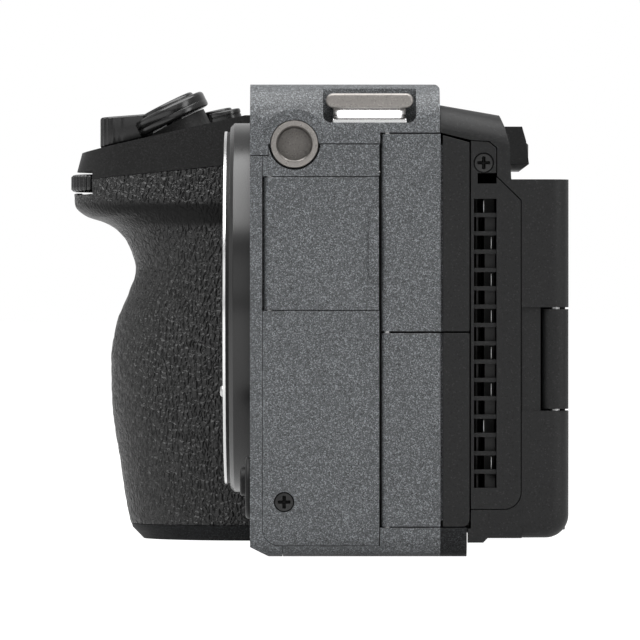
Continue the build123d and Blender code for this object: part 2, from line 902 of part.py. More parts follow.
def grip_outline(front, inset):
    """Points of the grip's horizontal section, from its left flank round the nose to its right side."""
    reach = strip_x - front
    left = grip_start + flank_gap + inset
    right = right_half - inset
    return (
        (strip_x, left),
        (front + 0.45 * reach, left + 2.6),
        (front + 3.0 + 0.7 * inset, nose_y - 7.5 + 0.6 * inset),
        (front + inset, nose_y),
        (front + 4.2 + 0.9 * inset, nose_y + 12.0 - 0.4 * inset),
        (front + 0.5 * reach, right - 3.6),
        (strip_x, right),
    )


def grip_solid(inset, overrun):
    """Solid through the grip's sections, inset from its surface; overrun lengthens it at its flat sides."""
    shares = [share for share, front in grip_stations]
    with BuildPart() as solid:
        for share, front in grip_stations:
            end = (share == shares[-1]) - (share == shares[0])
            with BuildSketch(Plane.XY.offset(share * body_height + end * overrun)):
                with BuildLine():
                    flank = Spline(*grip_outline(front, inset), tangents=((-1, 0), (1, 0)))
                    tail = strip_x + 1 + overrun
                    Polyline(flank @ 1, (tail, (flank @ 1).Y), (tail, (flank @ 0).Y), flank @ 0)
                make_face()
        loft(ruled=True)
    return solid.part


grip_form = grip_solid(0, 0)
grip_lining = grip_solid(leather_thickness, 1)
grip_hollow = grip_solid(leather_thickness + grip_wall, 2)

box_top_z = battery_z + battery_height + box_gap + box_wall

# Dial slot across the nose of the grip: a pocket for the disc and a notch that runs right across
dial_centre_x = dial_front_x + dial_radius
dial_slot_z = (dial_z - dial_slot_gap, dial_z + dial_thickness + dial_slot_gap)
with BuildPart() as dial_slot:
    rod("Z", dial_radius + 0.4, (dial_centre_x, nose_y), dial_slot_z)
    block((dial_front_x - 2, dial_front_x + dial_slot_depth), (grip_start, right_half), dial_slot_z)


def seam_height(x):
    """Height of the slanted seam between the leather and the grip's top cover."""
    return leather_seam_z + (x - leather_seam_x) * leather_seam_slope


def shoulder_at(x):
    """Height of the grip's sloping top."""
    return shoulder_height + (x - shoulder_front_x) * shoulder_slope


front_far_x = dial_front_x - 6
with BuildPart() as leather_zone:
    with BuildSketch(Plane.XZ.offset(-grip_start)):
        with BuildLine():
            Polyline(
                (front_far_x, leather_bottom),
                (strip_x - 0.2, leather_bottom),
                (strip_x - 0.2, seam_height(strip_x) - half_seam),
                (front_far_x, seam_height(front_far_x) - half_seam),
                close=True,
            )
        make_face()
    extrude(amount=-(right_half - grip_start + 1))

with BuildPart() as grip_leather:
    add(grip_form)
    add(grip_lining, mode=Mode.SUBTRACT)
    add(leather_zone.part, mode=Mode.INTERSECT)
    add(dial_slot.part, mode=Mode.SUBTRACT)

# Grip shell under the leather, hollow below the dial
with BuildPart() as grip_core:
    add(grip_hollow)
    block((front_far_x, strip_x), (grip_start, right_half), (0, box_top_z + door_gap), Mode.INTERSECT)

with BuildPart() as grip_shell:
    add(grip_lining)
    add(leather_zone.part, mode=Mode.INTERSECT)
    add(grip_core.part, mode=Mode.SUBTRACT)
    add(dial_slot.part, mode=Mode.SUBTRACT)
    rod("Z", dial_axle, (dial_centre_x, nose_y), (dial_slot_z[0] - 0.5, dial_slot_z[1]))

# Grip top cover: sloping cap over the grip and the shoulder behind it
zoom_normal = (-sin(radians(zoom_tilt)), 0, cos(radians(zoom_tilt)))
zoom_forward = (-cos(radians(zoom_tilt)), 0, -sin(radians(zoom_tilt)))
zoom_plane = Plane(origin=(zoom_x, nose_y, zoom_z), x_dir=zoom_forward, z_dir=zoom_normal)
cap_gap = 0.2
button_tilt = degrees(atan2(shoulder_slope, 1))
button_normal = (-sin(radians(button_tilt)), 0, cos(radians(button_tilt)))
top_button_radius = 2.8
top_button_rises = (1.7, 2.6)
top_button_places = ((-18.4, nose_y - 9.0), (-19.9, nose_y + 6.2))
top_button_planes = [
    Plane(origin=(x, y, shoulder_at(x)), x_dir=(0, 1, 0), z_dir=button_normal) for x, y in top_button_places
]
with BuildPart() as cap_zone:
    with BuildSketch(Plane.XZ.offset(-grip_start)):
        with BuildLine():
            Polyline(
                (front_far_x, seam_height(front_far_x) + half_seam),
                (strip_x + 0.5, seam_height(strip_x) + half_seam),
                (strip_x + 0.5, shoulder_height),
                (shoulder_front_x, shoulder_height),
                (front_far_x, shoulder_at(front_far_x)),
                close=True,
            )
        make_face()
    extrude(amount=-(right_half - grip_start + 1))

with BuildPart() as cap_hollow:
    with BuildSketch(Plane.XZ.offset(-grip_start)):
        with BuildLine():
            Polyline(
                (front_far_x, seam_height(front_far_x) - 1),
                (strip_x + 1, seam_height(strip_x) - 1),
                (strip_x + 1, shoulder_height - plate),
                (shoulder_front_x, shoulder_height - plate),
                (front_far_x, shoulder_at(front_far_x) - plate),
                close=True,
            )
        make_face()
    extrude(amount=-(right_half - grip_start + 1))
    add(grip_hollow, mode=Mode.INTERSECT)

shoulder_y = top_right_y + seam
with BuildPart() as grip_top_cover:
    add(grip_form)
    add(cap_zone.part, mode=Mode.INTERSECT)
    add(cap_hollow.part, mode=Mode.SUBTRACT)
    block(
        (strip_x, top_rear_x - half_seam),
        (grip_start + flank_gap, right_half),
        (front_seam_z + half_seam, shoulder_height),
    )
    block(
        (front_x, top_rear_x - half_seam),
        (shoulder_y, grip_start + flank_gap / 2),
        (front_seam_z + half_seam, shoulder_height),
    )
    block(
        (front_x, strip_x + plate),
        (grip_start, grip_start + 3 * flank_gap),
        (seam_height(strip_x) + half_seam, shoulder_height),
    )
    block(
        (strip_x - 1.0, top_rear_x - plate),
        (grip_start + 3.8, inner_right),
        (front_seam_z, shoulder_height - plate),
        Mode.SUBTRACT,
    )
    block(
        (strip_x, top_rear_x - plate),
        (shoulder_y + plate, grip_start + 4.0),
        (front_seam_z, shoulder_height - plate),
        Mode.SUBTRACT,
    )
    block(
        (lug_x0 - plate, lug_x1 + plate),
        (right_half - lug_depth - plate, inner_right + 0.5),
        (front_seam_z + half_seam, shoulder_height - plate + 0.5),
    )
    with BuildSketch(Plane.XZ.offset(-right_half)):
        with Locations(((lug_x0 + lug_x1) / 2, lug_floor_z - shoulder_drop + lug_length / 2)):
            RectangleRounded(lug_length, lug_length, lug_round)
    extrude(amount=lug_depth, mode=Mode.SUBTRACT)
    with BuildSketch(zoom_plane.offset(-cap_gap)):
        Circle(socket_boss)
    extrude(amount=-5.0)
    with BuildSketch(zoom_plane.offset(-cap_gap)):
        Circle(record_stem + pin_fit)
    extrude(amount=-3.5, mode=Mode.SUBTRACT)
    for plane in top_button_planes:
        with BuildSketch(plane.offset(-3.2)):
            Circle(top_button_radius + 1.4)
        extrude(amount=3.0)
        with BuildSketch(plane.offset(-2.4)):
            Circle(top_button_radius + control_gap)
        extrude(amount=4.0, mode=Mode.SUBTRACT)
    add(dial_slot.part, mode=Mode.SUBTRACT)

# Base plate: floor under body and grip, with the battery opening
with BuildPart() as grip_foot:
    add(grip_form)
    block(
        (front_far_x, strip_x - 0.1),
        (grip_start, right_half),
        (0, leather_bottom - half_seam),
        Mode.INTERSECT,
    )

with BuildPart() as base_plate:
    block((foot_x + half_seam, base_rear_x), (left_y, grip_start), (0, base_thickness))
    block(
        (panel_x + half_seam, base_rear_x),
        (left_y, inner_left),
        (0, port_seam_bottom),
    )
    block((base_rear_x - 1.5, base_rear_x), (left_y, inner_right), (0, port_seam_bottom))
    add(envelope.part, mode=Mode.INTERSECT)
    block((strip_x - 0.2, base_rear_x), (grip_start, right_half), (0, base_thickness))
    add(grip_foot.part)
    block(battery_span_x, battery_span_y, (-1, 5), Mode.SUBTRACT)
    rod("Z", tripod_ring + socket_fit, (0, lens_y), (0, base_thickness), Mode.SUBTRACT)
    rod(
        "Z",
        pin_radius,
        (port_hinge_x, hinge_y),
        (port_seam_bottom - pin_hold, port_seam_bottom),
        Mode.SUBTRACT,
    )
    rod(
        "X",
        pin_radius,
        (battery_hinge_y, hinge_radius),
        (battery_span_x[0] - pin_hold, battery_span_x[1] + pin_hold),
        Mode.SUBTRACT,
    )

# Right side cover with the card door's opening and its web
card_door_y = right_half - door_thickness
card_web_y = (card_door_y - recess_gap - web_thickness, card_door_y - recess_gap)
card_hinge_x = card_door_x + half_gap + hinge_radius
card_end_x = card_door_x + card_door_length
card_hinge_y = right_half - hinge_radius
card_slot_x = card_end_x - 2.1 - card_pitch
with BuildPart() as right_cover:
    block(
        (strip_x + half_seam, back_inner_x - half_seam),
        (inner_right, right_half),
        (base_thickness + half_seam, front_seam_z - half_seam),
    )
    block(
        (card_door_x, card_end_x),
        (inner_right, right_half),
        (card_door_low, card_door_high),
        Mode.SUBTRACT,
    )
    block(
        (grille_x - seam, back_inner_x),
        (inner_right, right_half),
        (0, rear_bottom + skin + seam),
        Mode.SUBTRACT,
    )
    block(
        (slope_waist[0] - skin - seam, back_inner_x),
        (inner_right, right_half),
        (rear_shelf_z - skin - seam, front_seam_z),
        Mode.SUBTRACT,
    )
    block(
        (card_door_x - 1.5, card_end_x + 0.9),
        card_web_y,
        (card_door_low - 1.5, card_door_high + 1.5),
    )
    for index in range(2):
        x = card_slot_x + index * card_pitch
        block(
            (x - card_thickness / 2 - slot_fit, x + card_thickness / 2 + slot_fit),
            card_web_y,
            (card_middle_z - card_width / 2 - slot_fit, card_middle_z + card_width / 2 + slot_fit),
            Mode.SUBTRACT,
        )
    rod(
        "Z",
        pin_radius,
        (card_hinge_x, card_hinge_y),
        (card_door_low - pin_hold, card_door_high + pin_hold),
        Mode.SUBTRACT,
    )

with BuildPart() as card_door:
    card_z = (card_door_low + half_gap, card_door_high - half_gap)
    block((card_hinge_x, card_end_x - half_gap), (card_door_y, right_half), card_z)
    rod("Z", hinge_radius, (card_hinge_x, card_hinge_y), card_z)
    rod("Z", pin_radius + pin_fit, (card_hinge_x, card_hinge_y), card_z, Mode.SUBTRACT)
    block(
        (card_end_x - half_gap - 1.2, card_end_x - half_gap),
        (card_door_y - 0.1, card_door_y + 0.6),
        (card_middle_z - 3.0, card_middle_z + 3.0),
        Mode.SUBTRACT,
    )

# Lens mount ring: black ring with the throat and the bayonet groove, turned about the lens axis
seat_x = -flange_depth
flange_rear_x = seat_x + flange_thickness
ring_rear_x = front_x + ring_rear
groove_rear_x = flange_rear_x + groove_depth
lens_plane = Plane(origin=(0, lens_y, lens_height), x_dir=(0, 1, 0), z_dir=(1, 0, 0))
screw_locations = PolarLocations(mount_screw_circle, mount_screw_count, mount_screw_start)
mount_head = 1.35
mount_head_depth = 0.9
mount_shank = 0.8
mount_screw_length = 5.0
with BuildPart() as mount_ring:
    with BuildSketch(Plane.XZ):
        with BuildLine():
            Polyline(
                (seat_x + ring_front_drop, lens_height + flange_radius + spigot_fit),
                (seat_x + ring_front_drop, lens_height + ring_radius - ring_edge),
                (seat_x + ring_front_drop + ring_edge, lens_height + ring_radius),
                (front_x, lens_height + ring_radius),
                (front_x, lens_height + spigot_radius),
                (ring_rear_x, lens_height + spigot_radius),
                (ring_rear_x, lens_height + throat_radius),
                (groove_rear_x, lens_height + throat_radius),
                (groove_rear_x, lens_height + groove_radius),
                (flange_rear_x, lens_height + groove_radius),
                (flange_rear_x, lens_height + flange_radius + spigot_fit),
                close=True,
            )
        make_face()
    revolve(axis=Axis((0, lens_y, lens_height), (1, 0, 0)))
    with BuildSketch(lens_plane.offset(flange_rear_x)):
        with screw_locations:
            Circle(mount_shank)
    extrude(amount=mount_screw_length, mode=Mode.SUBTRACT)
    rod("X", lock_pin_radius + pin_fit, (lock_pin_y, lock_pin_z), (flange_rear_x, ring_rear_x), Mode.SUBTRACT)

with BuildPart() as mount_flange:
    with BuildSketch(lens_plane.offset(seat_x)):
        Circle(flange_radius)
        Circle(throat_radius, mode=Mode.SUBTRACT)
    extrude(amount=flange_thickness)
    with BuildSketch(lens_plane.offset(seat_x)):
        for index in range(bayonet_count):
            middle = 90 + index * 360 / bayonet_count
            with BuildLine():
                outer = CenterArc((0, 0), bayonet_radius, middle - bayonet_angle / 2, bayonet_angle)
                Line(outer @ 1, (0, 0))
                Line((0, 0), outer @ 0)
            make_face()
    extrude(amount=flange_thickness, mode=Mode.SUBTRACT)
    with BuildSketch(lens_plane.offset(seat_x)):
        with screw_locations:
            Circle(mount_head + 0.05)
    extrude(amount=mount_head_depth, mode=Mode.SUBTRACT)
    with BuildSketch(lens_plane.offset(seat_x + rim_thickness)):
        Circle(flange_radius + 1)
        Circle(flange_radius - rim_groove, mode=Mode.SUBTRACT)
    extrude(amount=ring_front_drop - rim_thickness, mode=Mode.SUBTRACT)
    with BuildSketch(lens_plane.offset(seat_x)):
        with screw_locations:
            Circle(mount_shank + screw_gap)
    extrude(amount=flange_thickness, mode=Mode.SUBTRACT)
    rod("X", lock_pin_radius + pin_fit, (lock_pin_y, lock_pin_z), (seat_x, flange_rear_x), Mode.SUBTRACT)

with BuildPart() as mount_screws:
    with BuildSketch(lens_plane.offset(seat_x + 0.1)):
        with screw_locations:
            Circle(mount_head)
    extrude(amount=mount_head_depth - 0.1)
    with BuildSketch(lens_plane.offset(seat_x + 0.1)):
        with screw_locations:
            Circle(mount_shank)
    extrude(amount=mount_screw_length)
    with BuildSketch(lens_plane.offset(seat_x + 0.1)):
        with screw_locations:
            Rectangle(1.6, 0.35)
            Rectangle(0.35, 1.6)
    extrude(amount=0.4, mode=Mode.SUBTRACT)

# Spring-loaded lens lock and its release button
with BuildPart() as lock_pin:
    pin_front_x = seat_x - lock_pin_rise
    rod("X", lock_pin_radius, (lock_pin_y, lock_pin_z), (pin_front_x, ring_rear_x - release_travel - 0.5))
    chamfer(lock_pin.faces().sort_by(Axis.X)[0].edges(), length=0.3)

with BuildPart() as lens_release_pod:
    rod("X", pod_radius, (release_y, pod_z), (front_x - pod_rise, front_x))
    fillet(lens_release_pod.faces().sort_by(Axis.X)[0].edges(), radius=0.5)
    rod(
        "X",
        release_radius + control_gap,
        (release_y, release_z),
        (front_x - pod_rise, front_x),
        Mode.SUBTRACT,
    )

with BuildPart() as lens_release_button:
    release_front_x = front_x - release_rise
    rod("X", release_radius, (release_y, release_z), (release_front_x, release_front_x + release_length))
    fillet(lens_release_button.faces().sort_by(Axis.X)[0].edges(), radius=0.4)

# Throat baffle: black frame behind the mount ring with the light window
baffle_x = (ring_rear_x + baffle_depth, ring_rear_x + baffle_depth + baffle_thickness)
with BuildPart() as throat_baffle:
    rod("X", spigot_radius, (lens_y, lens_height), (ring_rear_x, baffle_x[1]))
    rod("X", throat_radius + 1, (lens_y, lens_height), (ring_rear_x, baffle_x[0]), Mode.SUBTRACT)
    block(
        baffle_x,
        (lens_y - window_width / 2, lens_y + window_width / 2),
        (lens_height - window_height / 2, lens_height + window_height / 2),
        Mode.SUBTRACT,
    )

contact_count = 10
contact_pitch = 1.9
contact_z = lens_height - 18.5
with BuildPart() as mount_contacts:
    block((baffle_x[0] - 1.5, baffle_x[0]), (-11.0, 11.0), (contact_z - 1.6, contact_z + 1.6))
    with BuildSketch(Plane.YZ.offset(baffle_x[0] - 1.8)):
        with Locations((0, contact_z)):
            with GridLocations(contact_pitch, 1, contact_count, 1):
                Circle(0.55)
    extrude(amount=0.5)

# Image sensor, its cover glass and the frame that holds both to the baffle
with BuildPart() as image_sensor:
    block(
        (0, sensor_thickness),
        (-sensor_width / 2, sensor_width / 2),
        (lens_height - sensor_height / 2, lens_height + sensor_height / 2),
    )

with BuildPart() as sensor_glass:
    block(
        (-glass_thickness, 0),
        (-sensor_width / 2, sensor_width / 2),
        (lens_height - sensor_height / 2, lens_height + sensor_height / 2),
    )

frame_front_x = -glass_thickness - frame_lip
post_y = frame_half_y - post_radius - 0.5
post_z = frame_half_z - post_radius - 0.5
with BuildPart() as sensor_frame:
    block(
        (frame_front_x, sensor_thickness),
        (-frame_half_y, frame_half_y),
        (lens_height - frame_half_z, lens_height + frame_half_z),
    )
    block(
        (-glass_thickness, sensor_thickness),
        (-sensor_width / 2 - 0.1, sensor_width / 2 + 0.1),
        (lens_height - sensor_height / 2 - 0.1, lens_height + sensor_height / 2 + 0.1),
        Mode.SUBTRACT,
    )
    block(
        (frame_front_x, -glass_thickness),
        (-window_width / 2, window_width / 2),
        (lens_height - window_height / 2, lens_height + window_height / 2),
        Mode.SUBTRACT,
    )
    for y in (-post_y, post_y):
        for z in (lens_height - post_z, lens_height + post_z):
            rod("X", post_radius, (y, z), (sensor_thickness, board_x))
            place = (y * post_draw_y, lens_height + (z - lens_height) * post_draw_z)
            rod("X", post_radius, place, (baffle_x[1], frame_front_x))

# Main board with its processor, memory and a long plug
board_rear_x = board_x + board_thickness
board_y = (left_y + board_side_gap, grip_start - 3.0)
board_z = (base_thickness + board_margin, front_seam_z - board_top_margin)
with BuildPart() as main_board:
    block((board_x, board_rear_x), board_y, board_z)
    block(
        (board_rear_x, board_rear_x + chip_height),
        (board_chip_y - chip_size / 2, board_chip_y + chip_size / 2),
        (fan_z - chip_size / 2, fan_z + chip_size / 2),
    )
    block(
        (board_rear_x, board_rear_x + chip_height),
        (board_memory_y - memory_size / 2, board_memory_y + memory_size / 2),
        (lens_height - 1.0, lens_height - 1.0 + memory_size),
    )
    block(
        (board_rear_x, board_rear_x + plug_height),
        (board_memory_y - plug_length / 2, board_memory_y + plug_length / 2),
        (board_z[0] + plug_width / 2, board_z[0] + 1.5 * plug_width),
    )

# Cooling fan on the board, and the fin stack behind the grille
spreader_x = (board_rear_x + chip_height, board_rear_x + chip_height + 1.2)
fan_x = (spreader_x[1], spreader_x[1] + fan_thickness)
with BuildPart() as fan_housing:
    half = fan_size / 2
    block((spreader_x[0], fan_x[1]), (fan_y - half, fan_y + half), (fan_z - half, fan_z + half))
    fillet(fan_housing.edges().filter_by(Axis.X), radius=3.0)
    rod("X", rotor_radius + 0.8, (fan_y, fan_z), (fan_x[0], fan_x[1]), Mode.SUBTRACT)
    rod("X", 1.2, (fan_y, fan_z), (fan_x[0], fan_x[1] - 2.0))

with BuildPart() as fan_rotor:
    rotor_x = (fan_x[0] + 0.6, fan_x[1] - 1.0)
    rod("X", 8.0, (fan_y, fan_z), rotor_x)
    with BuildSketch(Plane(origin=(rotor_x[0] + 0.5, fan_y, fan_z), x_dir=(0, 1, 0), z_dir=(1, 0, 0))):
        with PolarLocations(0, blade_count):
            with Locations(Location((rotor_radius / 2 + 3.5, 1.5), 12)):
                Rectangle(rotor_radius - 7.5, 0.8)
    extrude(amount=rotor_x[1] - rotor_x[0] - 1.0)
    rod("X", 1.25, (fan_y, fan_z), (rotor_x[0], fan_x[1] - 1.8), Mode.SUBTRACT)

heat_y = (inner_left + 0.3, inner_left + 26.0)
heat_z = (rear_bottom + skin + 2.5, rear_shelf_z - 1.6)
with BuildPart() as heat_sink:
    block((grille_x + 0.4, back_inner_x - 0.3), heat_y, (heat_z[0], heat_z[0] + 1.0))
    block((grille_x + 0.4, back_inner_x - 2.2), heat_y, (heat_z[1] - 1.0, heat_z[1]))
    block((back_inner_x - 3.4, back_inner_x - 2.2), heat_y, heat_z)
    for index in range(fin_count):
        x = grille_x + 0.9 + index * fin_pitch
        block((x, x + fin_thickness), heat_y, heat_z)
    for index in range(0, slot_count, 2):
        top = slot_top_z - index * slot_pitch
        block(
            (grille_x + 0.4, grille_x + 0.9 + (fin_count - 1) * fin_pitch + 0.5),
            (heat_y[0], heat_y[0] + 6.0),
            (top - slot_pitch + slot_bar / 2, top + slot_bar / 2),
            Mode.SUBTRACT,
        )

# Battery, its chute in the grip, and the two memory cards in their reader
with BuildPart() as battery_box:
    box_x = (battery_x - box_skin, battery_x + battery_length + box_skin)
    box_y = (battery_y - box_skin, battery_y + battery_width + box_skin)
    box_z = (base_thickness + 0.3, box_top_z)
    block(box_x, box_y, box_z)
    block(
        (box_x[0] + box_wall, box_x[1] - box_wall),
        (box_y[0] + box_wall, box_y[1] - box_wall),
        (0, box_z[1] - box_wall),
        Mode.SUBTRACT,
    )

with BuildPart() as battery:
    block(
        (battery_x, battery_x + battery_length),
        (battery_y, battery_y + battery_width),
        (battery_z, battery_z + battery_height),
    )
    fillet(battery.edges().filter_by(Axis.Z), radius=1.5)

reader_y = (battery_y, card_web_y[0])
reader_x = (card_slot_x - card_thickness / 2 - 1.2, card_slot_x + card_pitch + card_thickness / 2 + 1.2)
card_z0 = card_middle_z - card_width / 2
with BuildPart() as card_reader:
    block(reader_x, reader_y, (card_z0 - reader_wall, card_z0 + card_width + reader_wall))
    for index in range(2):
        x = card_slot_x + index * card_pitch
        block(
            (x - card_thickness / 2 - slot_fit, x + card_thickness / 2 + slot_fit),
            (reader_y[1] - card_length + 0.5, reader_y[1]),
            (card_z0 - slot_fit, card_z0 + card_width + slot_fit),
            Mode.SUBTRACT,
        )

with BuildPart() as memory_cards:
    for index in range(2):
        x = card_slot_x + index * card_pitch
        block(
            (x - card_thickness / 2, x + card_thickness / 2),
            (reader_y[1] - card_length + 0.8, reader_y[1] + 0.8),
            (card_z0, card_z0 + card_width),
        )

# Strap lugs: bar on two posts from a back plate with a turned-up lip
bar_top_z = body_height - bar_top_drop
bar_span = (lug_x0 + bar_side_gap, lug_x1 - bar_side_gap)
lug_plate = 0.8
post_width = 1.6
with BuildPart() as strap_lugs:
    for side, outer, drop in ((1, left_y, 0.0), (-1, right_half, shoulder_drop)):
        inner = outer + side * lug_depth
        floor_z = lug_floor_z - drop
        face = outer + side * 0.2
        with BuildSketch(Plane.XZ.offset(-face)):
            with Locations((sum(bar_span) / 2, bar_top_z - drop - bar_height / 2)):
                SlotOverall(bar_span[1] - bar_span[0], bar_height)
        extrude(amount=-side * bar_thickness)
        plate_face = inner - side * lug_plate
        for x in (bar_span[0], bar_span[1] - post_width):
            block(
                (x, x + post_width),
                tuple(sorted((face + side * 0.6, inner))),
                (bar_top_z - drop - bar_height + 0.6, bar_top_z - drop - 0.6),
            )
        block(
            (bar_span[0] + 0.9, bar_span[1] - 0.9),
            tuple(sorted((plate_face, inner))),
            (floor_z, bar_top_z - drop - 0.3),
        )
        block(
            (bar_span[0] + 1.3, bar_span[1] - 1.3),
            tuple(sorted((outer + side * 0.5, inner))),
            (floor_z, floor_z + 1.0),
        )

# Threaded sockets
def socket(axis, across, mouth, inward, ring):
    """Threaded bush whose mouth is flush with its surface, blind at its inner end."""
    end = mouth + inward * socket_depth
    rod(axis, ring, across, tuple(sorted((mouth, end))))
    rod(axis, socket_bore, across, tuple(sorted((mouth, end - inward * socket_floor))), Mode.SUBTRACT)


with BuildPart() as side_socket:
    socket("Y", (side_socket_x, side_socket_z), left_y, 1, socket_ring)
    rod("Y", socket_mouth, (side_socket_x, side_socket_z), (left_y, left_y + socket_step), Mode.SUBTRACT)

with BuildPart() as top_sockets:
    for place in top_socket_places:
        socket("Z", place, body_height, -1, socket_ring)

with BuildPart() as tripod_socket:
    socket("Z", (0, lens_y), 0, 1, tripod_ring)

# Accessory shoe: base, two side rails and inward lips, open to the rear
with BuildPart() as accessory_shoe:
    shoe_x = (shoe_front_x, top_rear_x - 0.5)
    block(shoe_x, (-shoe_width / 2, shoe_width / 2), (shoe_floor_z, shoe_top_z))
    block(
        (shoe_x[0] + shoe_side, shoe_x[1]),
        (-shoe_slot_width / 2, shoe_slot_width / 2),
        (shoe_floor_z + shoe_base, shoe_floor_z + shoe_base + shoe_slot_height),
        Mode.SUBTRACT,
    )
    block(
        (shoe_x[0] + shoe_side, shoe_x[1]),
        (-shoe_mouth_width / 2, shoe_mouth_width / 2),
        (shoe_floor_z + shoe_base, shoe_top_z),
        Mode.SUBTRACT,
    )

# Casing screws: cross-headed, one in the side panel and one in the grille frame
with BuildPart() as case_screws:
    for x, z in (side_screw, grille_screw):
        rod("Y", screw_head, (x, z), (left_y + 0.2, left_y + 1.3))
        rod("Y", screw_shank, (x, z), (left_y + 1.0, inner_left + 1.5))
        block((x - 1.0, x + 1.0), (left_y, left_y + 0.8), (z - 0.2, z + 0.2), Mode.SUBTRACT)
        block((x - 0.2, x + 0.2), (left_y, left_y + 0.8), (z - 1.0, z + 1.0), Mode.SUBTRACT)

# Hinge pins of the four swinging covers and of the screen
with BuildPart() as hinge_pins:
    pin_hold_length = pin_hold - 0.1
    for x, y, low, high in (
        (jack_hinge_x, hinge_y, jack_seam_bottom, jack_seam_top),
        (port_hinge_x, hinge_y, port_seam_bottom, port_seam_z),
        (card_hinge_x, card_hinge_y, card_door_low, card_door_high),
    ):
        rod("Z", pin_radius, (x, y), (low - pin_hold_length, high + pin_hold_length))
    rod(
        "X",
        pin_radius,
        (battery_hinge_y, hinge_radius),
        (battery_span_x[0] - pin_hold_length, battery_span_x[1] + pin_hold_length),
    )
    rod(
        "Z",
        hinge_rod,
        (screen_hinge_x, screen_hinge_y),
        (hinge_low_z - 2.9, hinge_high_z + 2.9),
    )

# Battery door in the base, with a recess for its latch
battery_door_x = (battery_span_x[0] + half_gap, battery_span_x[1] - half_gap)
latch_length = 9.0
latch_width = 3.6
latch_travel = 2.5
latch_thickness = 0.7
latch_centre_x = sum(battery_door_x) / 2
latch_y = battery_span_y[1] - half_gap - 2.0 - latch_width
latch_well = 0.9
with BuildPart() as battery_door:
    block(battery_door_x, (battery_hinge_y, battery_span_y[1] - half_gap), (0, base_thickness))
    rod("X", hinge_radius, (battery_hinge_y, hinge_radius), battery_door_x)
    block(
        (latch_centre_x - latch_length / 2 - control_gap, latch_centre_x + latch_length / 2 + control_gap),
        (latch_y - latch_travel - control_gap, latch_y + latch_width + control_gap),
        (0, latch_well),
        Mode.SUBTRACT,
    )
    rod("X", pin_radius + pin_fit, (battery_hinge_y, hinge_radius), battery_door_x, Mode.SUBTRACT)

with BuildPart() as battery_latch:
    block(
        (latch_centre_x - latch_length / 2, latch_centre_x + latch_length / 2),
        (latch_y, latch_y + latch_width),
        (latch_well - latch_thickness - 0.1, latch_well - 0.1),
    )
    with BuildSketch(Plane.XY):
        with Locations((latch_centre_x, latch_y + latch_width / 2)):
            with GridLocations(1.2, 1, 5, 1):
                Rectangle(0.5, latch_width)
    extrude(amount=0.3, mode=Mode.SUBTRACT)

# Swinging screen: leaf with its hinge arm and knuckle, and the glass set into it
screen_x = (back_wall_x + screen_gap, back_wall_x + screen_gap + screen_thickness)
screen_y = (cheek_y + 1.0, grip_start - screen_side_gap)
screen_z = (screen_bottom, rear_shelf_z - screen_top_gap)
knuckle_z = (hinge_low_z + screen_gap, hinge_high_z - screen_gap)
arm_x = (screen_hinge_x + screen_knuckle - arm_thickness, screen_hinge_x + screen_knuckle)
with BuildPart() as screen_shell:
    block(screen_x, screen_y, screen_z)
    fillet(screen_shell.edges().filter_by(Axis.X), radius=2.5)
    block(arm_x, (screen_hinge_y, screen_y[0] + 3.0), knuckle_z)
    rod("Z", screen_knuckle, (screen_hinge_x, screen_hinge_y), knuckle_z)
    block(
        (screen_x[1] - screen_glass_thickness, screen_x[1]),
        (screen_y[0] + screen_border, screen_y[1] - screen_border),
        (screen_z[0] + screen_border, screen_z[1] - screen_border),
        Mode.SUBTRACT,
    )
    block(
        (screen_x[1] - 4.0, screen_x[1]),
        (screen_y[1] - 1.2, screen_y[1]),
        (sum(screen_z) / 2 - 8, sum(screen_z) / 2 + 8),
        Mode.SUBTRACT,
    )
    rod("Z", hinge_rod + pin_fit, (screen_hinge_x, screen_hinge_y), knuckle_z, Mode.SUBTRACT)

with BuildPart() as screen_glass:
    block(
        (screen_x[1] - screen_glass_thickness, screen_x[1] - 0.1),
        (screen_y[0] + screen_border + 0.1, screen_y[1] - screen_border - 0.1),
        (screen_z[0] + screen_border + 0.1, screen_z[1] - screen_border - 0.1),
    )

# Ribbed dials on vertical axles
with BuildPart() as front_dial:
    with BuildSketch(Plane.XY.offset(dial_z)):
        with Locations((dial_centre_x, nose_y)):
            Circle(dial_radius)
            with PolarLocations(dial_radius, dial_rib_count):
                RectangleRounded(2 * dial_rib_depth, 0.55, 0.1, mode=Mode.SUBTRACT)
            Circle(dial_axle + dial_fit, mode=Mode.SUBTRACT)
    extrude(amount=dial_thickness)

with BuildPart() as rear_dial:
    with BuildSketch(Plane.XY.offset(rear_dial_z)):
        with Locations((rear_dial_x, rear_dial_y)):
            Circle(rear_dial_radius)
            with PolarLocations(rear_dial_radius, dial_rib_count):
                RectangleRounded(2 * dial_rib_depth, 0.55, 0.1, mode=Mode.SUBTRACT)
            Circle(dial_axle + dial_fit, mode=Mode.SUBTRACT)
    extrude(amount=dial_thickness)

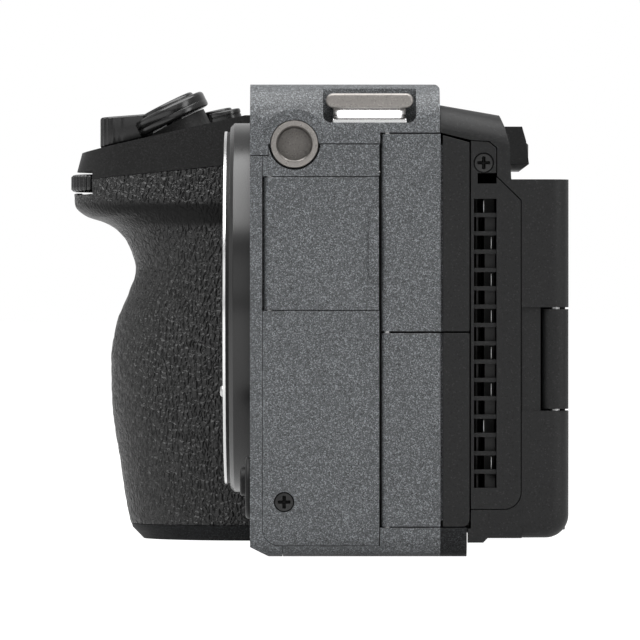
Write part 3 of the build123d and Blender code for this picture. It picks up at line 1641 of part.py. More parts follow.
# Zoom lever: cup on the tilted axis with a ribbed finger tab reaching forward
with BuildPart() as zoom_lever:
    with BuildSketch(zoom_plane):
        Circle(zoom_radius)
    extrude(amount=zoom_thickness)
    fillet(zoom_lever.faces().sort_by(Axis.Z)[-1].edges(), radius=0.8)
    with BuildSketch(Plane.XZ.offset(-(nose_y - tab_width / 2))):
        with BuildLine():
            Polyline(*((zoom_x + ahead, zoom_z + rise) for ahead, rise in tab_profile), close=True)
        make_face()
    extrude(amount=-tab_width)
    tab_low = (zoom_x + tab_profile[0][0], zoom_z + tab_profile[0][1])
    for step in range(tab_rib_count):
        block(
            (tab_low[0] - 0.1 + step * tab_rib_pitch, tab_low[0] - 0.1 + step * tab_rib_pitch + tab_rib),
            (nose_y - tab_width / 2 - tab_rib, nose_y + tab_width / 2 + tab_rib),
            (tab_low[1] + 0.4 + step * 0.2, zoom_z + tab_profile[1][1] - 0.2),
        )
    with BuildSketch(zoom_plane.offset(zoom_floor)):
        Circle(record_radius + control_gap)
    extrude(amount=zoom_thickness, mode=Mode.SUBTRACT)
    with BuildSketch(zoom_plane):
        Circle(record_stem + pin_fit)
    extrude(amount=zoom_floor, mode=Mode.SUBTRACT)

with BuildPart() as record_button:
    with BuildSketch(zoom_plane.offset(zoom_floor + record_travel + control_gap)):
        Circle(record_radius)
    extrude(amount=zoom_thickness + record_rise - zoom_floor - record_travel - control_gap)
    fillet(record_button.faces().sort_by(Axis.Z)[-1].edges(), radius=0.6)
    with BuildSketch(zoom_plane.offset(-2.2)):
        Circle(record_stem)
    extrude(amount=2.2 + zoom_floor + record_travel + control_gap)

# Two round keys on the sloping shoulder
top_keys = []
for rise, plane in zip(top_button_rises, top_button_planes):
    with BuildPart() as top_key:
        with BuildSketch(plane.offset(-1.8)):
            Circle(top_button_radius)
        extrude(amount=1.8 + rise)
        fillet(top_key.faces().sort_by(Axis.Z)[-1].edges(), radius=0.3)
    top_keys.append(top_key)

# Rear controls: ribbed wheel with its centre key, pointer stick and menu key
with BuildPart() as control_wheel:
    wheel_plane = Plane(origin=(0, wheel_y, wheel_z), x_dir=(0, 1, 0), z_dir=(1, 0, 0))
    with BuildSketch(wheel_plane.offset(wheel_recess_x + 0.2)):
        Circle(wheel_radius)
        Circle(wheel_hole, mode=Mode.SUBTRACT)
        with PolarLocations(wheel_radius, 48):
            Rectangle(0.5, 0.6, mode=Mode.SUBTRACT)
    extrude(amount=wheel_thickness)

with BuildPart() as select_key:
    key_x = wheel_recess_x + button_travel + 0.15
    rod("X", select_radius, (wheel_y, wheel_z), (key_x, wheel_recess_x + wheel_thickness + 0.4))
    fillet(select_key.faces().sort_by(Axis.X)[-1].edges(), radius=0.3)
    rod("X", select_bore, (wheel_y, wheel_z), (back_wall_x + 3, key_x))

gimbal_x = (control_face_x - control_wall - 0.5 - gimbal_length, control_face_x - control_wall - 0.5)
with BuildPart() as pointer_gimbal:
    rod("X", gimbal_radius, (stick_y, stick_z), gimbal_x)
    rod("X", stem_radius + 0.1, (stick_y, stick_z), gimbal_x, Mode.SUBTRACT)

with BuildPart() as pointer_stick:
    stick_x = control_face_x - stick_sink + stick_gap
    rod("X", stick_radius, (stick_y, stick_z), (stick_x, control_face_x + 1.2))
    fillet(pointer_stick.faces().sort_by(Axis.X)[-1].edges(), radius=0.5)
    rod("X", stem_radius, (stick_y, stick_z), (gimbal_x[0] - 0.4, stick_x))

with BuildPart() as menu_key:
    rod("X", menu_radius, (menu_y, menu_z), (control_face_x - control_wall - 0.4, control_face_x + 0.6))
    fillet(menu_key.faces().sort_by(Axis.X)[-1].edges(), radius=0.3)

pieces = {
    "front_casting": front_casting,
    "top_cover": top_cover,
    "side_panel": side_panel,
    "base_plate": base_plate,
    "port_panel": port_panel,
    "port_connectors": port_connectors,
    "audio_jacks": audio_jacks,
    "jack_door": jack_door,
    "upper_port_door": upper_port_door,
    "upper_door_trim": upper_door_trim,
    "lower_port_door": lower_port_door,
    "lower_door_trim": lower_door_trim,
    "grille_frame": grille_frame,
    "rear_cover": rear_cover,
    "right_cover": right_cover,
    "card_door": card_door,
    "grip_leather": grip_leather,
    "grip_shell": grip_shell,
    "grip_top_cover": grip_top_cover,
    "mount_ring": mount_ring,
    "mount_flange": mount_flange,
    "mount_screws": mount_screws,
    "lock_pin": lock_pin,
    "lens_release_pod": lens_release_pod,
    "lens_release_button": lens_release_button,
    "throat_baffle": throat_baffle,
    "mount_contacts": mount_contacts,
    "image_sensor": image_sensor,
    "sensor_glass": sensor_glass,
    "sensor_frame": sensor_frame,
    "main_board": main_board,
    "fan_housing": fan_housing,
    "fan_rotor": fan_rotor,
    "heat_sink": heat_sink,
    "battery_box": battery_box,
    "battery": battery,
    "card_reader": card_reader,
    "memory_cards": memory_cards,
    "strap_lugs": strap_lugs,
    "side_socket": side_socket,
    "top_sockets": top_sockets,
    "tripod_socket": tripod_socket,
    "accessory_shoe": accessory_shoe,
    "case_screws": case_screws,
    "hinge_pins": hinge_pins,
    "battery_door": battery_door,
    "battery_latch": battery_latch,
    "screen_shell": screen_shell,
    "screen_glass": screen_glass,
    "front_dial": front_dial,
    "rear_dial": rear_dial,
    "zoom_lever": zoom_lever,
    "record_button": record_button,
    "top_key_front": top_keys[0],
    "top_key_rear": top_keys[1],
    "control_wheel": control_wheel,
    "select_key": select_key,
    "pointer_gimbal": pointer_gimbal,
    "pointer_stick": pointer_stick,
    "menu_key": menu_key,
}
for label, builder in pieces.items():
    save(builder, label)
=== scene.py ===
import json
import logging
from dataclasses import dataclass, field
from enum import Enum
from math import pi, radians

import bmesh
import bpy
import numpy as np
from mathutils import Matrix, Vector


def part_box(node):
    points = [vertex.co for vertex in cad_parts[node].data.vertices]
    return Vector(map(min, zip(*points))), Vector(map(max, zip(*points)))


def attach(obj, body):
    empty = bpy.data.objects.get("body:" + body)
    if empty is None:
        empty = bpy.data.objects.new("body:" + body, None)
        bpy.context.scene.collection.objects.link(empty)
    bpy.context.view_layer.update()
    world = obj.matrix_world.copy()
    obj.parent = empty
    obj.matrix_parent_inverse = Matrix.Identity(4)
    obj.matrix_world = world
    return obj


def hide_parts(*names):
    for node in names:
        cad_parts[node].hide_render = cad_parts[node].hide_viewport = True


# Looks of a compact cinema camera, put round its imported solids.
# Lengths in the classes are millimetres; MM turns them into metres where a mesh is made.
# MERGE is the distance in metres under which two points become one.

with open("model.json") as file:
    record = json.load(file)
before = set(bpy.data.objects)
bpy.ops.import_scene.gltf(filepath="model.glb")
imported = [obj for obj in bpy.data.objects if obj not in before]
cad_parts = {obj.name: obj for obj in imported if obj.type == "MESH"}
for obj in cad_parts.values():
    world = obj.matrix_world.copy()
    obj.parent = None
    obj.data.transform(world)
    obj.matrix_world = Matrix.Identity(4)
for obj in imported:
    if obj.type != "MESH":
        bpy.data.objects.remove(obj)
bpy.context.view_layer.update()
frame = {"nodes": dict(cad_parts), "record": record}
MM = 0.001
TINY = 1e-12
MERGE = 1e-7
LENS_Z = 41.0
LEFT_FACE = -44.5
WHITE = (1.0, 1.0, 1.0, 1.0)
LOG = logging.getLogger("camera")
Vec = tuple[float, float, float]
Pair = tuple[float, float]
Array = np.ndarray
Shape = tuple[Array, list]
Tree = bpy.types.NodeTree
Socket = bpy.types.NodeSocket
Feed = float | tuple | Socket


class Pattern(Enum):
    """The fine structure that a finish shows."""

    GRAIN = "grain"
    TURNED = "turned"
    BRUSHED = "brushed"
    PEBBLE = "pebble"


class Graph:
    """A node tree with short ways to add and join nodes."""

    def __init__(self, tree: Tree) -> None:
        """Start with an empty tree.

        Args:
            tree: node tree of a material, a world or a node group.
        """
        self.tree = tree
        tree.nodes.clear()

    def feed(self, socket: Socket, value: Feed) -> None:
        """Set an input to a value, or link it to the output socket given instead.

        Args:
            socket: the input.
            value: a value or an output socket.
        """
        if isinstance(value, Socket):
            self.tree.links.new(value, socket)
        else:
            socket.default_value = value

    def node(self, kind: str, sockets: dict | None = None, **properties) -> bpy.types.Node:
        """Add one node.

        Args:
            kind: the node's type name without its ShaderNode prefix, or a full name.
            sockets: input name or number to a value or to the output socket that feeds it.
            properties: attributes to set on the node.

        Returns:
            The new node.
        """
        made = self.tree.nodes.new(kind if kind.startswith("NodeGroup") else "ShaderNode" + kind)
        for name, value in properties.items():
            setattr(made, name, value)
        for name, value in (sockets or {}).items():
            self.feed(made.inputs[name], value)
        return made

    def math(self, operation: str, *values: Feed, clamp: bool = False) -> Socket:
        """Add a Math node, clamped to 0 and 1 if asked, and return its output."""
        return self.node("Math", dict(enumerate(values)), operation=operation, use_clamp=clamp).outputs[0]

    def vector(self, operation: str, first: Feed, second: Feed) -> Socket:
        """Add a Vector Math node and return its vector."""
        return self.node("VectorMath", {0: first, 1: second}, operation=operation).outputs[0]

    def noise(self, place: Feed, scale: Feed, detail: float, roughness: float = 0.5) -> dict:
        """Add a noise texture and return its outputs."""
        sockets = {"Vector": place, "Scale": scale, "Detail": detail, "Roughness": roughness}
        return self.node("TexNoise", sockets).outputs

    def blend(self, share: Feed, first: Feed, second: Feed) -> Socket:
        """Mix two colours by a share, 0 for the first, and return the colour."""
        ends = [(*value, 1) if isinstance(value, tuple) else value for value in (first, second)]
        return self.node("Mix", {0: share, 6: ends[0], 7: ends[1]}, data_type="RGBA").outputs[2]

    def group(self, tree: Tree, sockets: dict) -> dict:
        """Place a shared node group with its own values and return its outputs."""
        return self.node("Group", sockets, node_tree=tree).outputs


def shared_group(name: str, values: tuple[str, ...], results: tuple[str, ...]) -> tuple:
    """Open a new shader node group.

    Args:
        name: the group's name.
        values: names of its float inputs; a Vector input comes before them.
        results: names of its float outputs.

    Returns:
        Its graph, the sockets that come in and the sockets that go out.
    """
    tree = bpy.data.node_groups.new(name, "ShaderNodeTree")
    tree.interface.new_socket("Vector", in_out="INPUT", socket_type="NodeSocketVector")
    for way, sockets in (("INPUT", values), ("OUTPUT", results)):
        for socket in sockets:
            tree.interface.new_socket(socket, in_out=way, socket_type="NodeSocketFloat")
    g = Graph(tree)
    return g, g.node("NodeGroupInput").outputs, g.node("NodeGroupOutput").inputs


class SharedEffects:
    """Effects that several finishes use, each one node group."""

    def __init__(self) -> None:
        """Build every group once."""
        self.grain = self._grain()
        self.mottle = self._mottle()
        self.turned = self._turned()
        self.brushed = self._brushed()
        self.pebble = self._pebble()

    @staticmethod
    def _grain() -> Tree:
        """Cells of random brightness: light and dark flecks and the bump between them.

        Returns:
            The group.
        """
        g, given, out = shared_group("paint_grain", ("Cells", "Light", "Dark"), ("Light", "Dark", "Height"))
        cells = g.node("TexVoronoi", {"Vector": given["Vector"], "Scale": given["Cells"]}).outputs
        parts = g.node("SeparateColor", {"Color": cells["Color"]}).outputs
        for channel, name in enumerate(("Light", "Dark")):
            over = g.math("SUBTRACT", parts[channel], g.math("SUBTRACT", 1.0, given[name]))
            g.feed(out[name], g.math("DIVIDE", over, given[name], clamp=True))
        fine = g.noise(given["Vector"], given["Cells"], 2.0)["Fac"]
        g.feed(out["Height"], g.math("ADD", g.math("MULTIPLY", cells["Distance"], 0.6), fine))
        return g.tree

    @staticmethod
    def _mottle() -> Tree:
        """Slow cloud of handling marks, 0 to 1.

        Returns:
            The group.
        """
        g, given, out = shared_group("handling_mottle", ("Scale",), ("Value",))
        g.feed(out["Value"], g.noise(given["Vector"], given["Scale"], 4.0, 0.62)["Fac"])
        return g.tree

    @staticmethod
    def _turned() -> Tree:
        """Lathe rings about the local Z axis: noise of the radius alone.

        Returns:
            The group.
        """
        g, given, out = shared_group("turned_rings", ("Rings",), ("Value",))
        parts = g.node("SeparateXYZ", {"Vector": given["Vector"]}).outputs
        flat = g.node("CombineXYZ", {"X": parts["X"], "Y": parts["Y"]}).outputs[0]
        radius = g.node("VectorMath", {0: flat}, operation="LENGTH").outputs["Value"]
        rings = {"W": radius, "Scale": given["Rings"], "Detail": 3.0}
        g.feed(out["Value"], g.node("TexNoise", rings, noise_dimensions="1D").outputs["Fac"])
        return g.tree

    @staticmethod
    def _brushed() -> Tree:
        """Long scratches along the local X axis.

        Returns:
            The group.
        """
        g, given, out = shared_group("brushed_lines", ("Lines",), ("Value",))
        long = g.vector("MULTIPLY", given["Vector"], (0.03, 1.0, 1.0))
        g.feed(out["Value"], g.noise(long, given["Lines"], 4.0)["Fac"])
        return g.tree

    @staticmethod
    def _pebble() -> Tree:
        """Leather pebbles: plateaus between creases, with pores on them, and how deep in a crease each point
        lies, for painted shade there.

        Returns:
            The group.
        """
        g, given, out = shared_group("leather_pebbles", ("Cells",), ("Height", "CreaseShade"))
        bend = g.noise(given["Vector"], given["Cells"], 1.0)["Color"]
        push = g.vector("MULTIPLY", bend, (0.0006, 0.0006, 0.0006))
        tall = g.vector("MULTIPLY", given["Vector"], (1.0, 1.0, 0.58))
        where = {"Vector": g.vector("ADD", tall, push), "Scale": given["Cells"]}
        edge = g.node("TexVoronoi", where, feature="DISTANCE_TO_EDGE").outputs["Distance"]
        top = g.math("SINE", g.math("MULTIPLY", g.math("MULTIPLY", edge, 2.4, clamp=True), 1.57))
        pores = g.noise(given["Vector"], g.math("MULTIPLY", given["Cells"], 5.0), 2.0)["Fac"]
        g.feed(out["Height"], g.math("ADD", top, g.math("MULTIPLY", pores, 0.35)))
        g.feed(out["CreaseShade"], g.math("SUBTRACT", 1.0, top))
        return g.tree


EFFECTS = SharedEffects()
MOTTLE_SCALE = 45.0
MOTTLE_RANGE = (0.3, 0.7)
MOTTLE_SHARE = {Pattern.GRAIN: 0.18, Pattern.TURNED: 0.35, Pattern.BRUSHED: 0.35, Pattern.PEBBLE: 0.5}
# SHADED is the near-black that the shade attribute mixes in: painted shade in the screws' recesses and on the
# strip under the grip's finger rest, and the base plate's own black rear part.
SHADED = (0.0012, 0.0012, 0.0012)
SHADE_DULLS = 0.85
COAT_ROUGHNESS = 0.08


@dataclass(frozen=True)
class Finish:
    """One finish of the camera.

    Colours are linear. Sizes are millimetres. Level is the shader's specular level.
    """

    name: str
    colour: Vec
    light: Vec
    dark: Vec
    roughness: float
    pattern: Pattern = Pattern.GRAIN
    metallic: float = 0.0
    spread: float = 0.12
    flecks: float = 0.3
    light_share: float = 0.3
    dark_share: float = 0.3
    bump: float = 0.2
    depth: float = 0.02
    coat: float = 0.0
    level: float = 0.5
    turn: Vec = (0.0, 0.0, 0.0)
    centre: Vec = (0.0, 0.0, 0.0)
    alpha: float = 1.0

    def build(self) -> bpy.types.Material:
        """Make the material's node tree.

        Returns:
            The material.
        """
        material = bpy.data.materials.new(self.name)
        material.use_nodes = True
        g = Graph(material.node_tree)
        place = g.node("TexCoord").outputs["Object"]
        shift = g.vector("SUBTRACT", place, tuple(value * MM for value in self.centre))
        turn = tuple(radians(value) for value in self.turn)
        where = g.node("Mapping", {"Vector": shift, "Rotation": turn}, vector_type="POINT").outputs[0]
        mottle = g.group(EFFECTS.mottle, {"Vector": place, "Scale": MOTTLE_SCALE})["Value"]
        height, colour, wander = self._pattern(g, where, mottle)
        span = {
            "Value": wander, "From Min": MOTTLE_RANGE[0], "From Max": MOTTLE_RANGE[1],
            "To Min": self.roughness - self.spread / 2, "To Max": self.roughness + self.spread / 2,
        }
        # The shade attribute darkens the colour towards SHADED and dulls bump and reflection: painted shade
        # on the screws and the leather, real black on the base plate.
        shade = g.node("Attribute", attribute_name="shade").outputs["Fac"]
        plain = g.math("SUBTRACT", 1.0, g.math("MULTIPLY", shade, SHADE_DULLS))
        strength = g.math("MULTIPLY", plain, self.bump)
        bump = g.node("Bump", {"Strength": strength, "Distance": self.depth * MM, "Height": height})
        shader = g.node("BsdfPrincipled", {
            "Base Color": g.blend(shade, colour, SHADED),
            "Roughness": g.node("MapRange", span).outputs[0],
            "Normal": bump.outputs[0],
            "Metallic": self.metallic,
            "Specular IOR Level": g.math("MULTIPLY", plain, self.level),
            "Coat Weight": self.coat,
            "Coat Roughness": COAT_ROUGHNESS,
            "Alpha": self.alpha,
        })
        g.node("OutputMaterial", {"Surface": shader.outputs[0]})
        return material

    def _pattern(self, g: Graph, where: Socket, mottle: Socket) -> tuple[Socket, Socket, Socket]:
        """Build the finish's pattern.

        Args:
            g: the material's graph.
            where: mapped object coordinates.
            mottle: slow cloud, 0 to 1.

        Returns:
            Height, colour and the value that steers roughness.
        """
        cells = 1 / (self.flecks * MM)
        share = g.math("MULTIPLY", mottle, MOTTLE_SHARE[self.pattern])
        if self.pattern is Pattern.PEBBLE:
            pebble = g.group(EFFECTS.pebble, {"Vector": where, "Cells": cells})
            # Creases blend towards the dark colour: painted shade in the creases.
            creased = g.blend(pebble["CreaseShade"], self.colour, self.dark)
            return pebble["Height"], g.blend(share, creased, self.light), mottle
        if self.pattern is Pattern.GRAIN:
            flecks = {"Vector": where, "Cells": cells, "Light": self.light_share, "Dark": self.dark_share}
            grain = g.group(EFFECTS.grain, flecks)
            flecked = g.blend(grain["Light"], g.blend(grain["Dark"], self.colour, self.dark), self.light)
            return grain["Height"], g.blend(share, flecked, self.dark), mottle
        turned = self.pattern is Pattern.TURNED
        tree, count = (EFFECTS.turned, "Rings") if turned else (EFFECTS.brushed, "Lines")
        lines = g.group(tree, {"Vector": where, count: cells})["Value"]
        return lines, g.blend(share, g.blend(lines, self.dark, self.light), self.colour), lines


def grey(value: float, warm: float = 0.0) -> Vec:
    """A near-neutral linear colour; warm above 0 leans to brown, below 0 to blue."""
    return (value * (1 + warm), value, value * (1 - warm))


FINISHES = (
    Finish(
        "grey_paint", grey(0.066, -0.055), grey(0.205, -0.055), grey(0.013, -0.055), 0.5,
        flecks=0.15, light_share=0.40, dark_share=0.5, bump=0.4, depth=0.03, level=0.34,
    ),
    Finish(
        "dark_paint", grey(0.009), grey(0.020), grey(0.004), 0.5,
        flecks=0.19, light_share=0.3, bump=0.35, depth=0.03, level=0.2,
    ),
    Finish(
        "black_plastic", grey(0.010, -0.02), grey(0.022), grey(0.005), 0.5,
        flecks=0.2, light_share=0.1, dark_share=0.3, bump=0.3, depth=0.02, level=0.2,
    ),
    Finish(
        "black_ring", grey(0.004), grey(0.006), grey(0.003), 0.27, Pattern.TURNED,
        flecks=0.12, bump=0.05, depth=0.005, spread=0.04, level=0.55, turn=(0, 90, 0), centre=(0, 0, 41),
    ),
    Finish(
        "silver", grey(0.75), grey(0.85), grey(0.55), 0.24, Pattern.TURNED, metallic=1.0,
        flecks=0.10, bump=0.08, depth=0.006, turn=(0, 90, 0), centre=(0, 0, 41),
    ),
    Finish(
        "steel", grey(0.50), grey(0.60), grey(0.34), 0.34, Pattern.BRUSHED, metallic=1.0,
        flecks=0.15, bump=0.1, depth=0.008,
    ),
    Finish(
        "bush_metal", grey(0.22, 0.06), grey(0.27, 0.06), grey(0.15, 0.06), 0.42,
        metallic=0.85, flecks=0.2, light_share=0.2, dark_share=0.2, bump=0.12, depth=0.01,
    ),
    Finish(
        "jack_plastic", grey(0.02), grey(0.03), grey(0.012), 0.3, flecks=0.4, bump=0.1,
    ),
    # The leather's dark colour is the painted shade of its creases.
    Finish(
        "leather", grey(0.0065), grey(0.010), grey(0.0015), 0.36, Pattern.PEBBLE,
        flecks=0.8, bump=1.0, depth=0.30, level=0.5,
    ),
    Finish(
        "gold_contact", (0.72, 0.52, 0.22), (0.82, 0.62, 0.30), (0.5, 0.35, 0.14), 0.25,
        Pattern.BRUSHED, metallic=1.0, flecks=0.1, bump=0.05,
    ),
    Finish(
        "sensor_die", (0.035, 0.018, 0.045), (0.05, 0.03, 0.07), (0.02, 0.01, 0.03), 0.12,
        flecks=0.6, bump=0.02, coat=0.6,
    ),
    Finish(
        "clear_glass", grey(0.9), grey(0.92), grey(0.86), 0.03,
        flecks=2.0, bump=0.0, spread=0.02, alpha=0.35, coat=0.5,
    ),
    Finish(
        "screen_glass", grey(0.006), grey(0.008), grey(0.004), 0.06,
        flecks=1.0, bump=0.01, spread=0.04, coat=0.8,
    ),
    Finish(
        "board", (0.02, 0.10, 0.045), (0.05, 0.16, 0.08), (0.01, 0.05, 0.02), 0.35,
        flecks=0.8, bump=0.2,
    ),
    Finish(
        "fins", grey(0.008), grey(0.014), grey(0.004), 0.42, Pattern.BRUSHED, flecks=0.2, bump=0.1, level=0.3,
    ),
    Finish("battery_case", grey(0.03), grey(0.05), grey(0.02), 0.5, flecks=0.3),
    Finish("card_plastic", (0.03, 0.03, 0.04), grey(0.06), grey(0.02), 0.45, flecks=0.3),
    Finish(
        "black_screw", grey(0.006), grey(0.011), grey(0.003), 0.34, Pattern.BRUSHED, metallic=0.2,
        flecks=0.12, bump=0.1, depth=0.01,
    ),
    Finish(
        "dial_metal", grey(0.007), grey(0.012), grey(0.004), 0.24, spread=0.06,
        flecks=0.2, light_share=0.15, dark_share=0.2, bump=0.08, depth=0.01, level=0.5,
    ),
    Finish(
        "record_red", (0.22, 0.008, 0.008), (0.26, 0.012, 0.012), (0.16, 0.005, 0.005), 0.3,
        flecks=0.3, bump=0.08,
    ),
    Finish("stick_rubber", grey(0.015), grey(0.02), grey(0.008), 0.75, flecks=0.2, bump=0.4),
)


NODE_SLOT = {row["node"]: row["material_slot"] for row in frame["record"]["subparts"]}
NODE_BODY = {
    node: body for body, nodes in frame["record"]["behaviour"]["bodies"].items() for node in nodes
}


class Paints:
    """The materials of all finishes, one for each slot of the record."""

    def __init__(self) -> None:
        """Build every material."""
        self.made = {finish.name: finish.build() for finish in FINISHES}

    def dress_nodes(self) -> None:
        """Give every CAD node the material of its slot."""
        for node, slot in NODE_SLOT.items():
            for place in frame["nodes"][node].material_slots:
                place.material = self.made[slot]


PAINTS = Paints()


def settle(piece: bpy.types.Object, node: str, slot: str | None = None, stands: bool = True) -> None:
    """Dress a finished piece and let it ride with a CAD node's body.

    Args:
        piece: the piece, in place.
        node: CAD node whose body it rides on.
        slot: finish slot, or None for the node's own.
        stands: the piece stands for the node.
    """
    name = slot or NODE_SLOT[node]
    piece.data.materials.clear()
    piece.data.materials.append(PAINTS.made[name])
    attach(piece, NODE_BODY[node])
    if stands:
        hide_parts(node)
    LOG.info("%s rides on %s", piece.name, NODE_BODY[node])


def linked(name: str, data: bpy.types.ID) -> bpy.types.Object:
    """Put data into the scene.

    Args:
        name: the object's name.
        data: its mesh, lamp or camera.

    Returns:
        The object.
    """
    made = bpy.data.objects.new(name, data)
    bpy.context.scene.collection.objects.link(made)
    return made


def new_object(
    name: str, points: Array, faces: list, sharp: float = 40.0, shade: Array | None = None
) -> bpy.types.Object:
    """Make a mesh object from points in millimetres.

    Args:
        name: the piece's name.
        points: array of points, one row each.
        faces: corner numbers of each face.
        sharp: edges over this angle in degrees stay sharp.
        shade: painted shade, how dark and dull each point is, 0 to 1; finishes read it as the attribute
            "shade".

    Returns:
        The object, linked to the scene.
    """
    mesh = bpy.data.meshes.new(name)
    mesh.from_pydata((points * MM).tolist(), [], faces)
    # Painted shade goes into the shade attribute.
    if shade is not None:
        mesh.attributes.new("shade", "FLOAT", "POINT").data.foreach_set("value", shade.astype(np.float32))
    made = linked(name, mesh)
    b = bmesh.new()
    b.from_mesh(mesh)
    bmesh.ops.remove_doubles(b, verts=b.verts, dist=MERGE)
    bmesh.ops.recalc_face_normals(b, faces=b.faces)
    b.to_mesh(mesh)
    b.free()
    mesh.shade_smooth()
    mesh.set_sharp_from_angle(angle=radians(sharp))
    return made


def add_piece(
    name: str, shape: Shape, node: str, slot: str | None = None, stands: bool = True, **looks: float | Array
) -> None:
    """Make a piece of a shape and settle it.

    Args:
        name: the piece's name.
        shape: its points and faces.
        node: CAD node whose body it rides on.
        slot: finish slot, or None for the node's own.
        stands: the piece stands for the node.
        looks: sharp and shade, as in new_object.
    """
    settle(new_object(name, *shape, **looks), node, slot, stands)


def smooth_step(value: Array) -> Array:
    """0 to 1 with flat ends: three times the square less twice the cube of the clipped value."""
    t = np.clip(value, 0, 1)
    return t * t * (3 - 2 * t)


def between(value: Array, low: float, low_soft: float, high: float, high_soft: float) -> Array:
    """1 between two limits: a soft step up from the low one times a soft step down to the high one."""
    return smooth_step((value - low) / low_soft) * smooth_step((high - value) / high_soft)


def bell(value: Array, middle: float, width: float) -> Array:
    """Bell curve: e to the minus square of the distance from the middle over the width."""
    return np.exp(-(((value - middle) / width) ** 2))


def unit(arrows: Array) -> Array:
    """Arrows over their own lengths."""
    return arrows / (np.linalg.norm(arrows, axis=-1, keepdims=True) + TINY)


def run_along(steps: Array) -> Array:
    """Length run along each row of steps, from 0."""
    lengths = np.linalg.norm(steps, axis=2)
    return np.concatenate([np.zeros((len(steps), 1)), np.cumsum(lengths, 1)], 1)


def hermite(
    t: Array, start: Array, end: Array, leave: Array, arrive: Array
) -> Array:
    """Cubic from a start to an end that leaves and arrives with two given slopes.

    It is (2t^3 - 3t^2 + 1) start + (3t^2 - 2t^3) end + (t^3 - 2t^2 + t) leave + (t^3 - t^2) arrive.

    Args:
        t: place on the way, 0 to 1.
        start: value at 0.
        end: value at 1.
        leave: slope at 0.
        arrive: slope at 1.

    Returns:
        Values at t.
    """
    rise = 3 * t**2 - 2 * t**3
    return (1 - rise) * start + rise * end + (t**3 - 2 * t**2 + t) * leave + (t**3 - t**2) * arrive


def grid_quads(rows: int, columns: int, loop_rows: bool = False) -> list:
    """Corner numbers of the quads of a grid whose columns close round.

    Args:
        rows: points along the first parameter.
        columns: points along the second parameter.
        loop_rows: join the last row to the first.

    Returns:
        One row of four numbers for each quad.
    """
    number = np.arange(rows * columns).reshape(rows, columns)
    down = np.roll(number, -1, 0) if loop_rows else number[1:]
    first = number if loop_rows else number[:-1]
    return np.stack([first, np.roll(first, -1, 1), np.roll(down, -1, 1), down], -1).reshape(-1, 4).tolist()


def around(count: int) -> Array:
    """Angles of so many points round an axis, as one row."""
    return np.linspace(0, 2 * pi, count, endpoint=False)[None, :]


def lathed(
    profile: list[Pair], origin: Vec, direction: Vec, count: int = 72, loop: bool = False,
    swell: Array | float = 0.0, lift: Array | float = 0.0,
) -> Shape:
    """Turned body: origin + direction * height + radius * (cos angle * side + sin angle * up).

    Args:
        profile: radius and height of each row.
        origin: a point on the axis.
        direction: the axis.
        count: points round it.
        loop: the profile comes back to its start.
        swell: change of radius, rows by angles.
        lift: change of height, rows by angles.

    Returns:
        Points and faces.
    """
    along = unit(np.array(direction, float))
    side = unit(np.cross((0.0, 1.0, 0.0) if abs(along[1]) < 0.9 else (0.0, 0.0, 1.0), along))
    radius, height = np.array(profile, float).T
    angle = around(count)[..., None]
    ring = np.cos(angle) * side + np.sin(angle) * np.cross(along, side)
    r, h = (radius[:, None] + swell)[..., None], (height[:, None] + lift)[..., None]
    points = np.array(origin, float) + h * along + r * ring
    return points.reshape(-1, 3), grid_quads(len(radius), count, loop)


def arc(centre: Pair, radius: float, start: float, end: float, steps: int = 4) -> list:
    """Points of a circle's arc between two angles in degrees."""
    turn = np.radians(np.linspace(start, end, steps + 1))
    return [(centre[0] + radius * np.cos(t), centre[1] + radius * np.sin(t)) for t in turn]


def carried(outline: Array, low: float, high: float, rounding: float, order: str = "xyz") -> Shape:
    """A closed outline carried along a straight path, drawn in near both ends by a quarter round.

    At each angle of the quarter the inset is rounding * (1 - sin) and the advance rounding * (1 - cos).

    Args:
        outline: points of the outline, two columns.
        low: start of the path.
        high: end of the path.
        rounding: radius of the end's round.
        order: the axes that the outline's two columns and the path stand for.

    Returns:
        Points and faces, both ends closed.
    """
    after = np.roll(outline, -1, 0)
    tangent = unit(unit(outline - np.roll(outline, 1, 0)) + unit(after - outline))
    area = np.sum(outline[:, 0] * after[:, 1] - after[:, 0] * outline[:, 1])
    normal = np.sign(area) * np.stack([tangent[:, 1], -tangent[:, 0]], 1)
    quarter = np.linspace(0, pi / 2, 5)
    inset, advance = rounding * (1 - np.sin(quarter)), rounding * (1 - np.cos(quarter))
    rings = outline[None] - np.concatenate([inset, inset[::-1]])[:, None, None] * normal[None]
    path = np.concatenate([low + advance, high - advance[::-1]])
    columns = (rings[..., 0], rings[..., 1], np.repeat(path[:, None], len(outline), 1))
    points = np.stack([columns[order.index(axis)] for axis in "xyz"], -1).reshape(-1, 3)
    first, last = range(len(outline)), range(len(points) - len(outline), len(points))
    return points, [*grid_quads(len(path), len(outline)), list(first), list(last)[::-1]]


def rounded(low: Pair, high: Pair, cut: float, steps: int = 5) -> Array:
    """Rectangle with each corner cut back and bridged by a curve.

    The curve is (1 - t)^2 * start + 2t (1 - t) * corner + t^2 * end.

    Args:
        low: one corner.
        high: the opposite corner.
        cut: how far each corner is cut back along both of its sides.
        steps: faces across each corner.

    Returns:
        The outline's points.
    """
    points = np.array([low, (high[0], low[1]), high, (low[0], high[1])], float)
    before, after = unit(np.roll(points, 1, 0) - points), unit(np.roll(points, -1, 0) - points)
    t = np.linspace(0, 1, steps + 1)[None, :, None]
    start, end = (points + cut * before)[:, None], (points + cut * after)[:, None]
    return ((1 - t) ** 2 * start + 2 * t * (1 - t) * points[:, None] + t**2 * end).reshape(-1, 2)


def moved(shape: Shape, scale: Vec = (1, 1, 1), shift: Vec = (0, 0, 0)) -> Shape:
    """A shape scaled along each axis and then shifted."""
    return shape[0] * scale + shift, shape[1]


